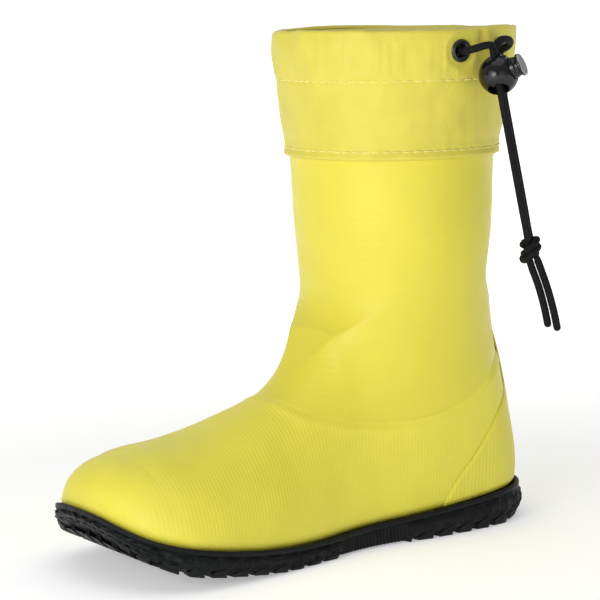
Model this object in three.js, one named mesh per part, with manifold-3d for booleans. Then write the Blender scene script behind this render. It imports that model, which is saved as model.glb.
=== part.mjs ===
// A left mid-calf boot of yellow rubber for wet decks: a moulded foot and shaft, a soft collar with an
// elastic drawcord in a tunnel at its top, a push-button cord lock, and a lugged black outsole.
//
// Millimetres. +X points to the toe, +Y to the outer (lateral) side, +Z up.
// Lengths along the foot are written as "ahead", measured from the heel end of the upper's seam
// with the sole. Heights are measured from a level a little below the ground. The whole boot is
// shifted at the end so that the origin is on the ground under its middle.
import * as THREE from 'three';
import { LoftGeometry } from 'three/addons/geometries/LoftGeometry.js';
import { mergeVertices } from 'three/addons/utils/BufferGeometryUtils.js';
import Module from 'manifold-3d';

const wasm = await Module();
wasm.setup();

// ---------------------------------------------------------------- driving dimensions
const footLength = 236;
const originAhead = 113.75;
const ground = 3.8;
const bootHeight = 254;
const hemHeight = 192;
const rubberTop = 224;
const gap = 0.3;

const rubberWall = 1.8;
const liningWall = 1.0;
const layerGap = 0.6;
const liningOuter = -(rubberWall + layerGap);
const liningInner = liningOuter - liningWall;
const patchWall = 0.8;
const patchOuter = gap + patchWall;
const counterWall = 0.6;
const counterInner = patchOuter + gap;
const stripInner = counterInner + counterWall + gap;
const stripWall = 1.0;

const plyOuter = 2.0;
const plyInner = 0.4;
const facingWall = 1.0;
const facingOuter = liningInner - 0.4;
const tunnelDepth = -4.8;

const columns = 28;
const legLevels = [226, 214, 203, hemHeight, 172, 148];
const legCentre = 56;

const cordRadius = 1.8;
const tunnelCordDepth = -2.6;
const eyeletHeight = 243;
const eyeletColumns = { front: 7, rear: 9 };

// ---------------------------------------------------------------- small helpers
// A smooth curve through [x, y] pairs that never overshoots them.
function through(pairs, x) {
  const last = pairs.length - 1;
  if (x <= pairs[0][0]) return pairs[0][1];
  if (x >= pairs[last][0]) return pairs[last][1];
  const slopeOf = (i) => (pairs[i + 1][1] - pairs[i][1]) / (pairs[i + 1][0] - pairs[i][0]);
  const tangent = (i) => {
    if (i === 0) return slopeOf(0);
    if (i === last) return slopeOf(last - 1);
    return (slopeOf(i - 1) + slopeOf(i)) / 2;
  };
  let i = 0;
  while (pairs[i + 1][0] < x) i += 1;
  const width = pairs[i + 1][0] - pairs[i][0];
  const t = (x - pairs[i][0]) / width;
  return (2 * t ** 3 - 3 * t ** 2 + 1) * pairs[i][1]
    + (t ** 3 - 2 * t ** 2 + t) * width * tangent(i)
    + (3 * t ** 2 - 2 * t ** 3) * pairs[i + 1][1]
    + (t ** 3 - t ** 2) * width * tangent(i + 1);
}

const clamp = THREE.MathUtils.clamp;
const lerp = THREE.MathUtils.lerp;

function smoothMin(a, b, blend) {
  const h = clamp(0.5 + 0.5 * (b - a) / blend, 0, 1);
  return lerp(b, a, h) - blend * h * (1 - h);
}

function smoothMax(a, b, blend) {
  return -smoothMin(-a, -b, blend);
}

// The value at which a rising function crosses a target.
function solve(rising, target, low, high) {
  for (let i = 0; i < 26; i += 1) {
    const middle = (low + high) / 2;
    if (rising(middle) < target) low = middle;
    else high = middle;
  }
  return (low + high) / 2;
}

// A closed three.js geometry as a solid for cutting and joining.
function toSolid(geometry) {
  const bare = new THREE.BufferGeometry();
  bare.setAttribute('position', geometry.getAttribute('position'));
  bare.setIndex(geometry.index);
  const merged = mergeVertices(bare, 1e-4);
  const position = merged.getAttribute('position');
  const corners = [new THREE.Vector3(), new THREE.Vector3(), new THREE.Vector3()];
  const triangles = [];
  let volume = 0;
  for (let i = 0; i < merged.index.count; i += 3) {
    const ids = [merged.index.getX(i), merged.index.getX(i + 1), merged.index.getX(i + 2)];
    if (new Set(ids).size < 3) continue;
    ids.forEach((id, k) => corners[k].fromBufferAttribute(position, id));
    volume += corners[0].dot(corners[1].clone().cross(corners[2]));
    triangles.push(ids);
  }
  if (volume < 0) triangles.forEach((ids) => ids.reverse());
  return new wasm.Manifold(new wasm.Mesh({
    numProp: 3,
    vertProperties: new Float32Array(position.array),
    triVerts: new Uint32Array(triangles.flat()),
  }));
}

function toGeometry(solid) {
  const mesh = solid.getMesh();
  const geometry = new THREE.BufferGeometry();
  geometry.setAttribute('position', new THREE.BufferAttribute(new Float32Array(mesh.vertProperties), 3));
  geometry.setIndex(new THREE.BufferAttribute(new Uint32Array(mesh.triVerts), 1));
  geometry.computeVertexNormals();
  return geometry;
}

function piece(parent, name, solid, material) {
  const mesh = new THREE.Mesh(toGeometry(solid), material);
  mesh.name = name;
  parent.add(mesh);
}

function coat(color, roughness, metalness = 0) {
  return new THREE.MeshStandardMaterial({ color, roughness, metalness });
}

// ---------------------------------------------------------------- the boot's outer skin
const seamHalfWidth = {
  lateral: [[28.3, 26], [82.6, 31], [136.9, 44], [174.6, 51], [207.7, 54.5]],
  medial: [[28.3, 25.5], [82.6, 27.5], [136.9, 34.5], [174.6, 42], [207.7, 47.5]],
};
const toeLength = 55;
const toeRoundness = 2.8;
const domeLength = 34;
const domeRoundness = 2.1;
const sectionRoundness = 2.35;
const heelCentre = 24.5;
const heelReach = 25;
const instepBlend = 30;
const soleEdgeBlend = 6;

// Height of the foot above the sole, by the distance back from the toe's tip.
const footHeight = [[22, 37.3], [50, 45.2], [80, 56.7], [105, 67.5], [130, 88.4]];

// The leg's section by height: its back and front edges, half its width and how square its back is.
const legBack = [[0, 9], [30, 0.5], [60, 7.5], [90, 13], [120, 13], [155, 8.6], [192, 6.3], [223, 0.1],
  [254, -4.9]];
const legRoundness = [[0, 2.6], [60, 2.5], [120, 2.15]];
const legFront = [[0, 94.4], [60, 95.9], [120, 99.8], [155, 102.7], [192, 105], [223, 108.5], [254, 110.3]];
const legHalf = [[0, 28.3], [30, 32.8], [60, 37.4], [90, 42.4], [120, 46.4], [155, 49.6], [192, 50.4],
  [223, 54], [254, 56.2]];

// Height of the upper's seam with the sole, and of the tread's underside, by distance ahead.
const seamLine = [[-10, 19.4], [14, 19], [32, 17.6], [51, 16.1], [70, 14.7], [88, 13.7], [107, 12.8],
  [128, 12.2], [148, 12.7], [167, 14.4], [185, 17.1], [200, 19.8], [213, 22.6], [224, 26],
  [231, 29.4], [236, 33], [241, 37.5]];
const treadLine = [[-10, ground], [140, ground], [150, ground], [168, 5.2], [185, 7.3], [201, 9.6], [214, 12.2],
  [224, 16.6], [231, 20.8], [236, 25.5], [241, 32.5]];

function seamHeight(ahead) {
  return through(seamLine, ahead);
}

function superRadius(a, b, power) {
  return (Math.abs(a) ** power + Math.abs(b) ** power) ** (1 / power);
}

// Height of the foot above the seam; it ends in a round dome at the toe.
function footRise(ahead) {
  const dome = clamp(1 - (footLength - ahead) / domeLength, 0, 1);
  const round = (1 - dome ** domeRoundness) ** (1 / domeRoundness);
  return Math.max(1e-3, through(footHeight, footLength - ahead) * round);
}

function footField(ahead, side, height) {
  const toe = clamp((ahead - (footLength - toeLength)) / toeLength, 0, 1);
  const heel = Math.max(0, heelCentre - ahead) / heelReach;
  const table = side > 0 ? seamHalfWidth.lateral : seamHalfWidth.medial;
  const half = Math.max(1e-3, through(table, ahead) * (1 - toe ** toeRoundness) ** (1 / toeRoundness));
  const rise = footRise(ahead);
  const above = Math.max(0, height - seamHeight(ahead));
  const across = Math.hypot(side / half, heel);
  const inside = (superRadius(across, above / rise, sectionRoundness) - 1) * Math.min(half, rise);
  return Math.max(inside, above - rise, ahead - footLength);
}

function legField(ahead, side, height) {
  const back = through(legBack, height);
  const front = through(legFront, height);
  const half = through(legHalf, height);
  const reach = (front - back) / 2;
  const behind = ahead - (back + front) / 2;
  const roundness = behind < 0 ? through(legRoundness, height) : legRoundness[2][1];
  return (superRadius(behind / reach, side / half, roundness) - 1) * half;
}

function field(p) {
  const body = smoothMin(footField(p.x, p.y, p.z), legField(p.x, p.y, p.z), instepBlend);
  return smoothMax(body, seamHeight(p.x) - p.z, soleEdgeBlend);
}

function slope(p) {
  const step = 0.2;
  const at = (x, y, z) => field(new THREE.Vector3(p.x + x, p.y + y, p.z + z));
  return new THREE.Vector3(
    at(step, 0, 0) - at(-step, 0, 0),
    at(0, step, 0) - at(0, -step, 0),
    at(0, 0, step) - at(0, 0, -step),
  ).divideScalar(2 * step);
}

// The point where a ray from inside the boot meets the skin, moved out along the skin's normal.
function skinPoint(from, direction, offset = 0) {
  const along = (r) => from.clone().addScaledVector(direction, r);
  let reach = 3;
  while (field(along(reach)) < 0) reach += 3;
  const point = along(solve((r) => field(along(r)), 0, reach - 3, reach));
  return point.addScaledVector(slope(point).normalize(), offset);
}

// The line of section centres from the leg round the ankle to the ball of the foot:
// distance ahead, height, and the section's tilt in degrees.
const ankleLine = [[56, 122, 0], [53, 98, 14], [50, 72, 27], [49, 54, 33], [72, 45, 38.5],
  [104, 41.5, 45.5], [136, 38.5, 59], [166, 38, 76], [190, 40, 90]];
const ankleSteps = 12;
const toeSteps = 6;
const toeEnd = footLength - 1.2;

// Stations along the boot from the leg's top to the toe: a point and the tilt of its section.
function bootStations() {
  const leg = legLevels.map((height) => ({ ahead: legCentre, height, tilt: 0 }));
  const knots = (k) => ankleLine.map((knot, i) => [i / (ankleLine.length - 1), knot[k]]);
  const ankle = Array.from({ length: ankleSteps + 1 }, (_, i) => ({
    ahead: through(knots(0), i / ankleSteps),
    height: through(knots(1), i / ankleSteps),
    tilt: THREE.MathUtils.degToRad(through(knots(2), i / ankleSteps)),
  }));
  const ball = ankleLine[ankleLine.length - 1][0];
  const toe = Array.from({ length: toeSteps }, (_, i) => {
    const t = (i + 1) / toeSteps;
    const ahead = lerp(ball, toeEnd, 1 - (1 - t) ** 1.6);
    return { ahead, height: seamHeight(ahead) + 0.45 * footRise(ahead), tilt: Math.PI / 2 };
  });
  return [...leg, ...ankle, ...toe];
}

function ringAngle(column) {
  return ((column + 0.5) / columns) * 2 * Math.PI;
}

function stationRing(station, offset) {
  const from = new THREE.Vector3(station.ahead, 0, station.height);
  return Array.from({ length: columns }, (_, column) => {
    const angle = -ringAngle(column);
    const direction = new THREE.Vector3(
      Math.cos(angle) * Math.cos(station.tilt),
      Math.sin(angle),
      Math.cos(angle) * Math.sin(station.tilt),
    );
    return skinPoint(from, direction, offset);
  });
}

// The solid inside the surface at an offset from the skin, closed at its top and at the toe.
function bootSolid(offset) {
  const sections = bootStations().map((station) => stationRing(station, offset));
  return toSolid(new LoftGeometry(sections, { capStart: true, capEnd: true }));
}

// Points that lie on a straight run between their neighbours are left out of an outline.
function bends(points) {
  return points.filter((point, i) => {
    const before = points[(i + points.length - 1) % points.length];
    const after = points[(i + 1) % points.length];
    const turn = (point.x - before.x) * (after.y - point.y) - (point.y - before.y) * (after.x - point.x);
    return Math.abs(turn) > 1e-6;
  });
}

// A slab across the whole width between two heights given as functions of the distance ahead.
function sideSlab(bottom, top, from, to, count = 36) {
  const stations = Array.from({ length: count + 1 }, (_, i) => lerp(from, to, i / count));
  const lower = stations.map((ahead) => new THREE.Vector2(ahead, bottom(ahead)));
  const upper = stations.map((ahead) => new THREE.Vector2(ahead, top(ahead))).reverse();
  return acrossTheBoot(new THREE.Shape(bends([...lower, ...upper])), -80, 80);
}

// A side-view outline (ahead, height) extruded across the boot.
function acrossTheBoot(shape, fromSide, toSide) {
  const depth = toSide - fromSide;
  const geometry = new THREE.ExtrudeGeometry(shape, { depth, bevelEnabled: false, curveSegments: 8 });
  geometry.rotateX(Math.PI / 2);
  geometry.translate(0, toSide, 0);
  return toSolid(geometry);
}

// A rear-view outline (side, height) extruded along the boot.
function alongTheBoot(shape, from, to) {
  const geometry = new THREE.ExtrudeGeometry(shape, { depth: to - from, bevelEnabled: false });
  geometry.rotateX(Math.PI / 2);
  geometry.rotateZ(Math.PI / 2);
  geometry.translate(from, 0, 0);
  return toSolid(geometry);
}

function outline(points) {
  return new THREE.Shape(points.map(([x, y]) => new THREE.Vector2(x, y)));
}

// ---------------------------------------------------------------- rubber upper and its layers
function makeUpper() {
  const below = acrossTheBoot(outline([[-40, -10], [300, -10], [300, rubberTop], [-40, rubberTop]]), -90, 90);
  const shell = bootSolid(0).subtract(bootSolid(-rubberWall));
  return shell.intersect(below);
}

function makeLining() {
  const top = rubberTop - 2;
  const below = acrossTheBoot(outline([[-40, -10], [300, -10], [300, top], [-40, top]]), -90, 90);
  return bootSolid(liningOuter).intersect(bootSolid(-rubberWall))
    .subtract(bootSolid(liningInner))
    .intersect(below);
}

// The foot's second layer of rubber ends at a raised line from the instep round to the heel.
function makeFootOverlay() {
  const upperEdge = new THREE.Shape();
  upperEdge.moveTo(-30, 0);
  upperEdge.lineTo(260, 0);
  upperEdge.lineTo(260, 96);
  upperEdge.lineTo(146, 96);
  upperEdge.lineTo(133, 78);
  upperEdge.splineThru([[112, 69], [88, 65], [62, 66], [36, 74], [14, 88], [-30, 108]]
    .map(([x, y]) => new THREE.Vector2(x, y)));
  const aboveSole = sideSlab((a) => seamHeight(a) + 0.4, () => 140, -30, 270);
  return bootSolid(patchOuter).subtract(bootSolid(gap))
    .intersect(acrossTheBoot(upperEdge, -90, 90))
    .intersect(aboveSole);
}

function makeHeelOverlay() {
  const edge = outline([[-30, 0], [64, 0], [52, 24], [34, 44], [13, 66], [-30, 84]]);
  const aboveBand = sideSlab((a) => seamHeight(a) + pipingHeight + gap, () => 140, -30, 270);
  return bootSolid(counterInner + counterWall).subtract(bootSolid(counterInner))
    .intersect(acrossTheBoot(edge, -90, 90))
    .intersect(aboveBand);
}

function makeBackStrip() {
  const halfWidth = 16;
  const low = seamHeight(0) + pipingHeight + gap;
  const edge = outline([[-halfWidth, low], [halfWidth, low], [halfWidth, 78], [13, 94], [7, 104],
    [-7, 104], [-13, 94], [-halfWidth, 78]]);
  return bootSolid(stripInner + stripWall).subtract(bootSolid(stripInner))
    .intersect(alongTheBoot(edge, -30, 30));
}

// ---------------------------------------------------------------- sole, board and footbed
const pipingHeight = 2.4;
const pipingInner = counterInner;
const pipingOuter = 3.8;
const soleBase = 4.6;
const lugPitch = 12;
const lugWidth = 7.4;
const waist = { from: 80, to: 117 };
const chevronDrop = 9;

// Plan outline of the sole, standing out from the skin just above its seam.
function planOutline(standOut, count = 44) {
  const probe = (ahead, side) => new THREE.Vector3(ahead, side, seamHeight(ahead) + soleEdgeBlend);
  const toe = solve((x) => field(probe(x, 0)), 0, 150, footLength + 12);
  const heel = -solve((x) => field(probe(-x, 0)), 0, -60, 20);
  const reach = (toe - heel) / 2;
  const seam = Array.from({ length: count }, (_, i) => {
    const angle = ((i + 0.5) / count) * 2 * Math.PI;
    const ahead = (toe + heel) / 2 + reach * Math.cos(angle);
    const sign = Math.sign(Math.sin(angle));
    return new THREE.Vector2(ahead, sign * solve((y) => field(probe(ahead, sign * y)), 0, 0, 75));
  });
  return new THREE.Shape(seam.map((point, i) => {
    const along = seam[(i + 1) % count].clone().sub(seam[(i + count - 1) % count]).normalize();
    return new THREE.Vector2(point.x + along.y * standOut, point.y - along.x * standOut);
  }));
}

function planPrism(shape, bottom = -5, top = 60) {
  const geometry = new THREE.ExtrudeGeometry(shape, { depth: top - bottom, bevelEnabled: false });
  geometry.translate(0, 0, bottom);
  return toSolid(geometry);
}

function treadHeight(ahead) {
  return Math.max(ground, through(treadLine, ahead));
}

// The tread rises towards the back of the heel.
function heelBevel(ahead) {
  return 4 * clamp(1 - ahead / 20, 0, 1.2) ** 3;
}

function makeOutsole() {
  const whole = planPrism(planOutline(pipingOuter));
  const tread = planPrism(planOutline(pipingOuter - 0.6));
  const base = whole
    .intersect(sideSlab((a) => seamHeight(a) - soleBase, (a) => seamHeight(a) - gap, -30, 270));
  const piping = whole
    .intersect(sideSlab((a) => seamHeight(a) - 1, (a) => seamHeight(a) + pipingHeight, -30, 270))
    .subtract(bootSolid(pipingInner));
  const waistBlock = tread.intersect(sideSlab((a) => treadHeight(a) + 0.9, (a) => seamHeight(a) - soleBase + 1,
    waist.from - 4, waist.to + 4, 4));
  const lugDepth = sideSlab((a) => treadHeight(a) + heelBevel(a),
    (a) => seamHeight(a) - soleBase + 1, -30, 270);
  let lugs = waistBlock;
  for (let ahead = -10; ahead < footLength + 4; ahead += lugPitch) {
    const inWaist = ahead + lugWidth > waist.from && ahead < waist.to;
    if (!inWaist) lugs = lugs.add(planPrism(chevron(ahead), -5, 45));
  }
  return base.add(piping).add(tread.intersect(lugDepth).intersect(lugs));
}

// A V-shaped tread bar in plan, its point towards the toe.
function chevron(ahead) {
  return outline([
    [ahead, 0], [ahead - chevronDrop, 75], [ahead - chevronDrop + lugWidth, 75],
    [ahead + lugWidth, 0], [ahead - chevronDrop + lugWidth, -75], [ahead - chevronDrop, -75],
  ]);
}

const boardHeight = 4.1;
const boardThickness = 1.3;
const footbedThickness = 4;

// A flat piece that fills the inside of the lining between two heights above the seam.
function insidePlate(low, high) {
  return bootSolid(liningInner - layerGap).intersect(bootSolid(liningInner))
    .intersect(sideSlab((a) => seamHeight(a) + low, (a) => seamHeight(a) + high, -30, 226, 24));
}

function makeInsoleBoard() {
  return insidePlate(boardHeight, boardHeight + boardThickness);
}

function makeFootbed() {
  const low = boardHeight + boardThickness + gap;
  return insidePlate(low, low + footbedThickness);
}

// ---------------------------------------------------------------- collar
// A band round the leg from a profile of [offset from the skin, height] pairs.
function collarBand(profile) {
  const sections = [];
  for (let column = 0; column <= columns; column += 1) {
    const angle = ringAngle(column % columns);
    const direction = new THREE.Vector3(Math.cos(angle), Math.sin(angle), 0);
    sections.push(profile.map(([offset, height]) => skinPoint(
      new THREE.Vector3(legCentre, 0, height), direction, offset,
    )));
  }
  return toSolid(new LoftGeometry(sections));
}

function makeCollarOuter() {
  const outer = [hemHeight, 203, 214, 224, 233, 250.5].map((height) => [plyOuter, height]);
  const rim = [[1.3, 253.2], [0.2, bootHeight], [-0.9, 253.5], [-1.4, 252.4], [-1.1, 251]];
  const inner = [249.6, 233, 224, 214, 203, hemHeight].map((height) => [plyInner, height]);
  return collarBand([...outer, ...rim, ...inner]);
}

function makeCollarFacing() {
  const outer = [[-1.8, 252.2], [tunnelDepth, 248], [tunnelDepth, 238], [facingOuter, 228],
    [facingOuter, 214], [facingOuter, 203]];
  const inner = outer.map(([offset, height]) => [offset - facingWall, height]).reverse();
  return collarBand([...outer, ...inner]);
}

function makeStitchRow(height) {
  const thread = 0.35;
  const centre = plyOuter + gap + thread;
  return collarBand([[centre + thread, height], [centre, height + thread], [centre - thread, height],
    [centre, height - thread]]);
}

// ---------------------------------------------------------------- eyelets
// Each eyelet sits in the middle of one flat panel of the collar's outer ply.
function eyeletPlace(column) {
  const corner = (k, height) => {
    const angle = ringAngle(column - 1 + k);
    const direction = new THREE.Vector3(Math.cos(angle), Math.sin(angle), 0);
    return skinPoint(new THREE.Vector3(legCentre, 0, height), direction, plyOuter);
  };
  const low = corner(0, 233).lerp(corner(1, 233), 0.5);
  const high = corner(0, 250.5).lerp(corner(1, 250.5), 0.5);
  const centre = low.clone().lerp(high, (eyeletHeight - low.z) / (high.z - low.z));
  const across = corner(1, 233).sub(corner(0, 233));
  const outward = across.clone().cross(high.clone().sub(low)).normalize();
  return { centre, outward };
}

const eyeletHole = 2.9;
const eyeletFlange = 5.5;
const barrelWall = 0.6;
const ply = plyOuter - plyInner;

function turned(profile, segments = 14) {
  const points = profile.map(([r, z]) => new THREE.Vector2(r, z));
  const geometry = new THREE.LatheGeometry(points, segments);
  geometry.rotateX(Math.PI / 2);
  return toSolid(geometry);
}

function makeEyelet() {
  const barrelRadius = eyeletHole + barrelWall;
  const barrelEnd = -(ply + gap + 0.7);
  return turned([
    [eyeletHole, barrelEnd], [barrelRadius, barrelEnd], [barrelRadius, gap], [eyeletFlange, gap],
    [eyeletFlange, gap + 0.5], [4.6, gap + 1.1], [3.4, gap + 0.9], [eyeletHole, gap + 0.3],
    [eyeletHole, barrelEnd],
  ]);
}

function makeWasher() {
  const top = -(ply + gap);
  const hole = eyeletHole + barrelWall + gap;
  const bottom = top - 0.5;
  return turned([[hole, bottom], [eyeletFlange, bottom], [eyeletFlange, top], [hole, top], [hole, bottom]]);
}

// ---------------------------------------------------------------- drawcord and its lock
const eyelets = {
  front: eyeletPlace(eyeletColumns.front),
  rear: eyeletPlace(eyeletColumns.rear),
};
const pivotStandOff = 2.5;
const lockCentre = new THREE.Vector3(42.3, 68.7, 231.4);
const cordDirection = new THREE.Vector3(-0.145, 0.097, -0.985).normalize();
const pairSpacing = 4;
const pairSide = new THREE.Vector3(0.808, 0.591, 0).addScaledVector(cordDirection, 0.06).normalize();
const knotDistance = 85.5;
const knotCentre = lockCentre.clone().addScaledVector(cordDirection, knotDistance);
const knotSize = { wide: 5.2, deep: 4.6, tall: 6 };

function tube(points, radius, steps, sides = 8) {
  const section = new THREE.Shape();
  for (let i = 0; i < sides; i += 1) {
    const angle = (i / sides) * 2 * Math.PI;
    if (i === 0) section.moveTo(radius, 0);
    else section.lineTo(radius * Math.cos(angle), radius * Math.sin(angle));
  }
  const extrudePath = points instanceof THREE.Curve ? points : new THREE.CatmullRomCurve3(points);
  return toSolid(new THREE.ExtrudeGeometry(section, { steps, extrudePath, bevelEnabled: false }));
}

function ball(centre, radius, segments = 10) {
  const geometry = new THREE.SphereGeometry(radius, segments, segments - 2);
  geometry.translate(centre.x, centre.y, centre.z);
  return toSolid(geometry);
}

function outwards(place, distance) {
  return place.centre.clone().addScaledVector(place.outward, distance);
}

// The stretch inside the tunnel, turned out through each eyelet as far as its mouth.
function makeTunnelCord() {
  const from = Math.atan2(eyelets.front.centre.y, eyelets.front.centre.x - legCentre);
  const to = Math.atan2(eyelets.rear.centre.y, eyelets.rear.centre.x - legCentre) - 2 * Math.PI;
  const points = Array.from({ length: 37 }, (_, i) => {
    const angle = lerp(from, to, i / 36);
    const direction = new THREE.Vector3(Math.cos(angle), Math.sin(angle), 0);
    return skinPoint(new THREE.Vector3(legCentre, 0, eyeletHeight), direction, tunnelCordDepth);
  });
  const lead = (place) => {
    const inner = outwards(place, tunnelCordDepth - plyOuter);
    const mouth = outwards(place, pivotStandOff - cordRadius - gap);
    return tube([inner, mouth], cordRadius, 1).add(ball(inner, cordRadius));
  };
  return tube(points, cordRadius, 32).add(lead(eyelets.front)).add(lead(eyelets.rear));
}

function alongPair(side, distance) {
  return lockCentre.clone()
    .addScaledVector(pairSide, side * pairSpacing / 2)
    .addScaledVector(cordDirection, distance);
}

// A strand from an eyelet's mouth over to the lock and straight down to the knot.
function makeStrand(place, side, arch) {
  const start = outwards(place, pivotStandOff);
  const end = knotDistance - knotSize.tall - 2 * gap;
  const straight = [-12.5, -9.8, 5, 20, 35, 50, 65, end].map((distance) => alongPair(side, distance));
  const points = [start, ...arch, ...straight];
  return tube(points, cordRadius, 18).add(ball(start, cordRadius));
}

const frontArch = [[55.7, 63.1, 243.3], [53, 66.8, 244.5], [49.7, 68.8, 245.5], [47, 69.2, 245.3]];
const rearArch = [[29.1, 59.4, 244.4], [31, 63.4, 246.6], [35.4, 66, 247.9], [40, 67, 247.4]];

function vectors(points) {
  return points.map(([x, y, z]) => new THREE.Vector3(x, y, z));
}

function makeKnot() {
  const geometry = new THREE.SphereGeometry(1, 16, 12);
  geometry.rotateX(Math.PI / 2);
  geometry.scale(knotSize.wide, knotSize.deep, knotSize.tall);
  geometry.translate(knotCentre.x, knotCentre.y, knotCentre.z);
  return toSolid(geometry);
}

const tailSide = new THREE.Vector3(-0.831, 0.557, 0);
const tailDirection = new THREE.Vector3(-0.222, 0.148, -0.964).normalize();

function makeTail(side, length) {
  const root = knotCentre.clone()
    .addScaledVector(tailSide, side * pairSpacing / 2)
    .addScaledVector(tailDirection, knotSize.tall + 3 * gap);
  const bow = [0, 0.35, 0.7, 1].map((t) => root.clone()
    .addScaledVector(tailDirection, t * length)
    .addScaledVector(tailSide, Math.sin(t * Math.PI) * 0.8));
  return tube(bow, cordRadius, 5);
}

// Cord lock, in its own frame: +Z is the plunger's axis towards the button and +X the direction
// from one strand to the other. The strands cross it tilted by cordTilt from square.
const lockRadius = 9.6;
const facetHeight = 7.2;
const boreRadius = 5.5;
const boreFloor = -7.4;
const wellRadius = 2.4;
const wellFloor = -8.9;
const plungerRadius = 5.2;
const pressTravel = 2.8;
const plungerFloor = -4.4;
const buttonRadius = 5.6;
const buttonUnderside = 11.1;
const buttonTop = 12.9;
const cordTilt = THREE.MathUtils.degToRad(14);
const strandWindow = { x: pairSpacing + 2 * cordRadius + 0.7, z: 2 * cordRadius + 0.9 };
const springWire = 0.2;

const plungerElevation = THREE.MathUtils.degToRad(23.5);
const plungerAxis = new THREE.Vector3(
  -0.591 * Math.cos(plungerElevation),
  0.808 * Math.cos(plungerElevation),
  Math.sin(plungerElevation),
).normalize();

function disc(radius, low, high, segments = 20) {
  const geometry = new THREE.CylinderGeometry(radius, radius, high - low, segments);
  geometry.rotateX(Math.PI / 2);
  geometry.translate(0, 0, (low + high) / 2);
  return toSolid(geometry);
}

// A rounded passage along the strands, which run down +Y at the lock's tilt.
function strandPassage(width, height, length, lift = 0) {
  const radius = height / 2;
  const flat = width / 2 - radius;
  const shape = new THREE.Shape();
  shape.absarc(flat, 0, radius, -Math.PI / 2, Math.PI / 2, false);
  shape.absarc(-flat, 0, radius, Math.PI / 2, 1.5 * Math.PI, false);
  const geometry = new THREE.ExtrudeGeometry(shape, { depth: length, bevelEnabled: false, curveSegments: 6 });
  geometry.translate(0, 0, -length / 2);
  geometry.rotateX(Math.PI / 2 - cordTilt);
  geometry.translate(0, 0, lift);
  return toSolid(geometry);
}

// The exit opening is a round recess that faces down and outwards.
function exitRecess() {
  const tilt = THREE.MathUtils.degToRad(38);
  const geometry = new THREE.CylinderGeometry(5.4, 4.4, 6.5, 20);
  geometry.translate(0, 7.2, 0);
  geometry.rotateX(cordTilt * -1);
  geometry.rotateZ(-tilt);
  return toSolid(geometry);
}

function makeLockBody() {
  const sphere = new THREE.SphereGeometry(lockRadius, 22, 14);
  sphere.rotateX(Math.PI / 2);
  return toSolid(sphere)
    .subtract(disc(20, facetHeight, 20))
    .subtract(disc(boreRadius, boreFloor, 20))
    .subtract(disc(wellRadius, wellFloor, 0, 16))
    .subtract(strandPassage(strandWindow.x, strandWindow.z, 40))
    .subtract(exitRecess());
}

function makePlunger() {
  const slot = strandWindow;
  const stem = disc(plungerRadius, plungerFloor, buttonUnderside + 0.2);
  let body = stem.add(disc(buttonRadius, buttonUnderside, buttonTop));
  const steps = 3;
  for (let i = 0; i <= steps; i += 1) {
    body = body.subtract(strandPassage(slot.x, slot.z, 40, (i / steps) * pressTravel));
  }
  return body;
}

class Helix extends THREE.Curve {
  constructor(radius, from, to, turns) {
    super();
    Object.assign(this, { radius, from, to, turns });
  }

  getPoint(t, target = new THREE.Vector3()) {
    const angle = t * this.turns * 2 * Math.PI;
    const height = lerp(this.from, this.to, t);
    return target.set(this.radius * Math.cos(angle), this.radius * Math.sin(angle), height);
  }
}

function makeLockSpring() {
  const coil = new Helix(1.7, wellFloor + springWire + 0.1, plungerFloor - springWire - 0.1, 3);
  return tube(coil, springWire, 30, 6);
}

// ---------------------------------------------------------------- colours and assembly
const yellowRubber = coat(0xe6da4e, 0.5);
const yellowPatch = coat(0xe2d64a, 0.52);
const collarLeather = coat(0xe6db5a, 0.6);
const facingCloth = coat(0xddd272, 0.8);
const liningCloth = coat(0xb9b9b4, 0.95);
const blackRubber = coat(0x1c1d1f, 0.65);
const boardFibre = coat(0xcfc8b4, 0.9);
const footbedFoam = coat(0x3a3c3f, 0.95);
const yellowThread = coat(0xcfc23a, 0.7);
const blackMetal = coat(0x17171a, 0.3, 0.6);
const blackCord = coat(0x18191c, 0.85);
const blackPlastic = coat(0x121316, 0.25);
const springSteel = coat(0xb8bbc0, 0.3, 1);

const boot = new THREE.Group();
boot.position.set(-originAhead, 0, -ground);

piece(boot, 'outsole', makeOutsole(), blackRubber);
piece(boot, 'insole_board', makeInsoleBoard(), boardFibre);
piece(boot, 'footbed', makeFootbed(), footbedFoam);
piece(boot, 'upper_shell', makeUpper(), yellowRubber);
piece(boot, 'lining', makeLining(), liningCloth);
piece(boot, 'foot_overlay', makeFootOverlay(), yellowPatch);
piece(boot, 'heel_overlay', makeHeelOverlay(), yellowPatch);
piece(boot, 'back_strip', makeBackStrip(), yellowPatch);
piece(boot, 'collar_facing', makeCollarFacing(), facingCloth);
piece(boot, 'tunnel_stitching', makeStitchRow(229.5), yellowThread);
piece(boot, 'hem_stitching', makeStitchRow(hemHeight + 4), yellowThread);

let collar = makeCollarOuter();
for (const [name, place] of Object.entries(eyelets)) {
  const turn = new THREE.Quaternion().setFromUnitVectors(new THREE.Vector3(0, 0, 1), place.outward);
  const radius = eyeletHole + barrelWall + gap;
  const hole = new THREE.CylinderGeometry(radius, radius, 6, 20);
  hole.rotateX(Math.PI / 2);
  hole.applyQuaternion(turn);
  hole.translate(place.centre.x, place.centre.y, place.centre.z);
  collar = collar.subtract(toSolid(hole));

  const seat = new THREE.Group();
  seat.position.copy(place.centre);
  seat.quaternion.copy(turn);
  piece(seat, `eyelet_${name}`, makeEyelet(), blackMetal);
  piece(seat, `washer_${name}`, makeWasher(), blackMetal);
  boot.add(seat);
}
piece(boot, 'collar_outer', collar, collarLeather);

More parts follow.
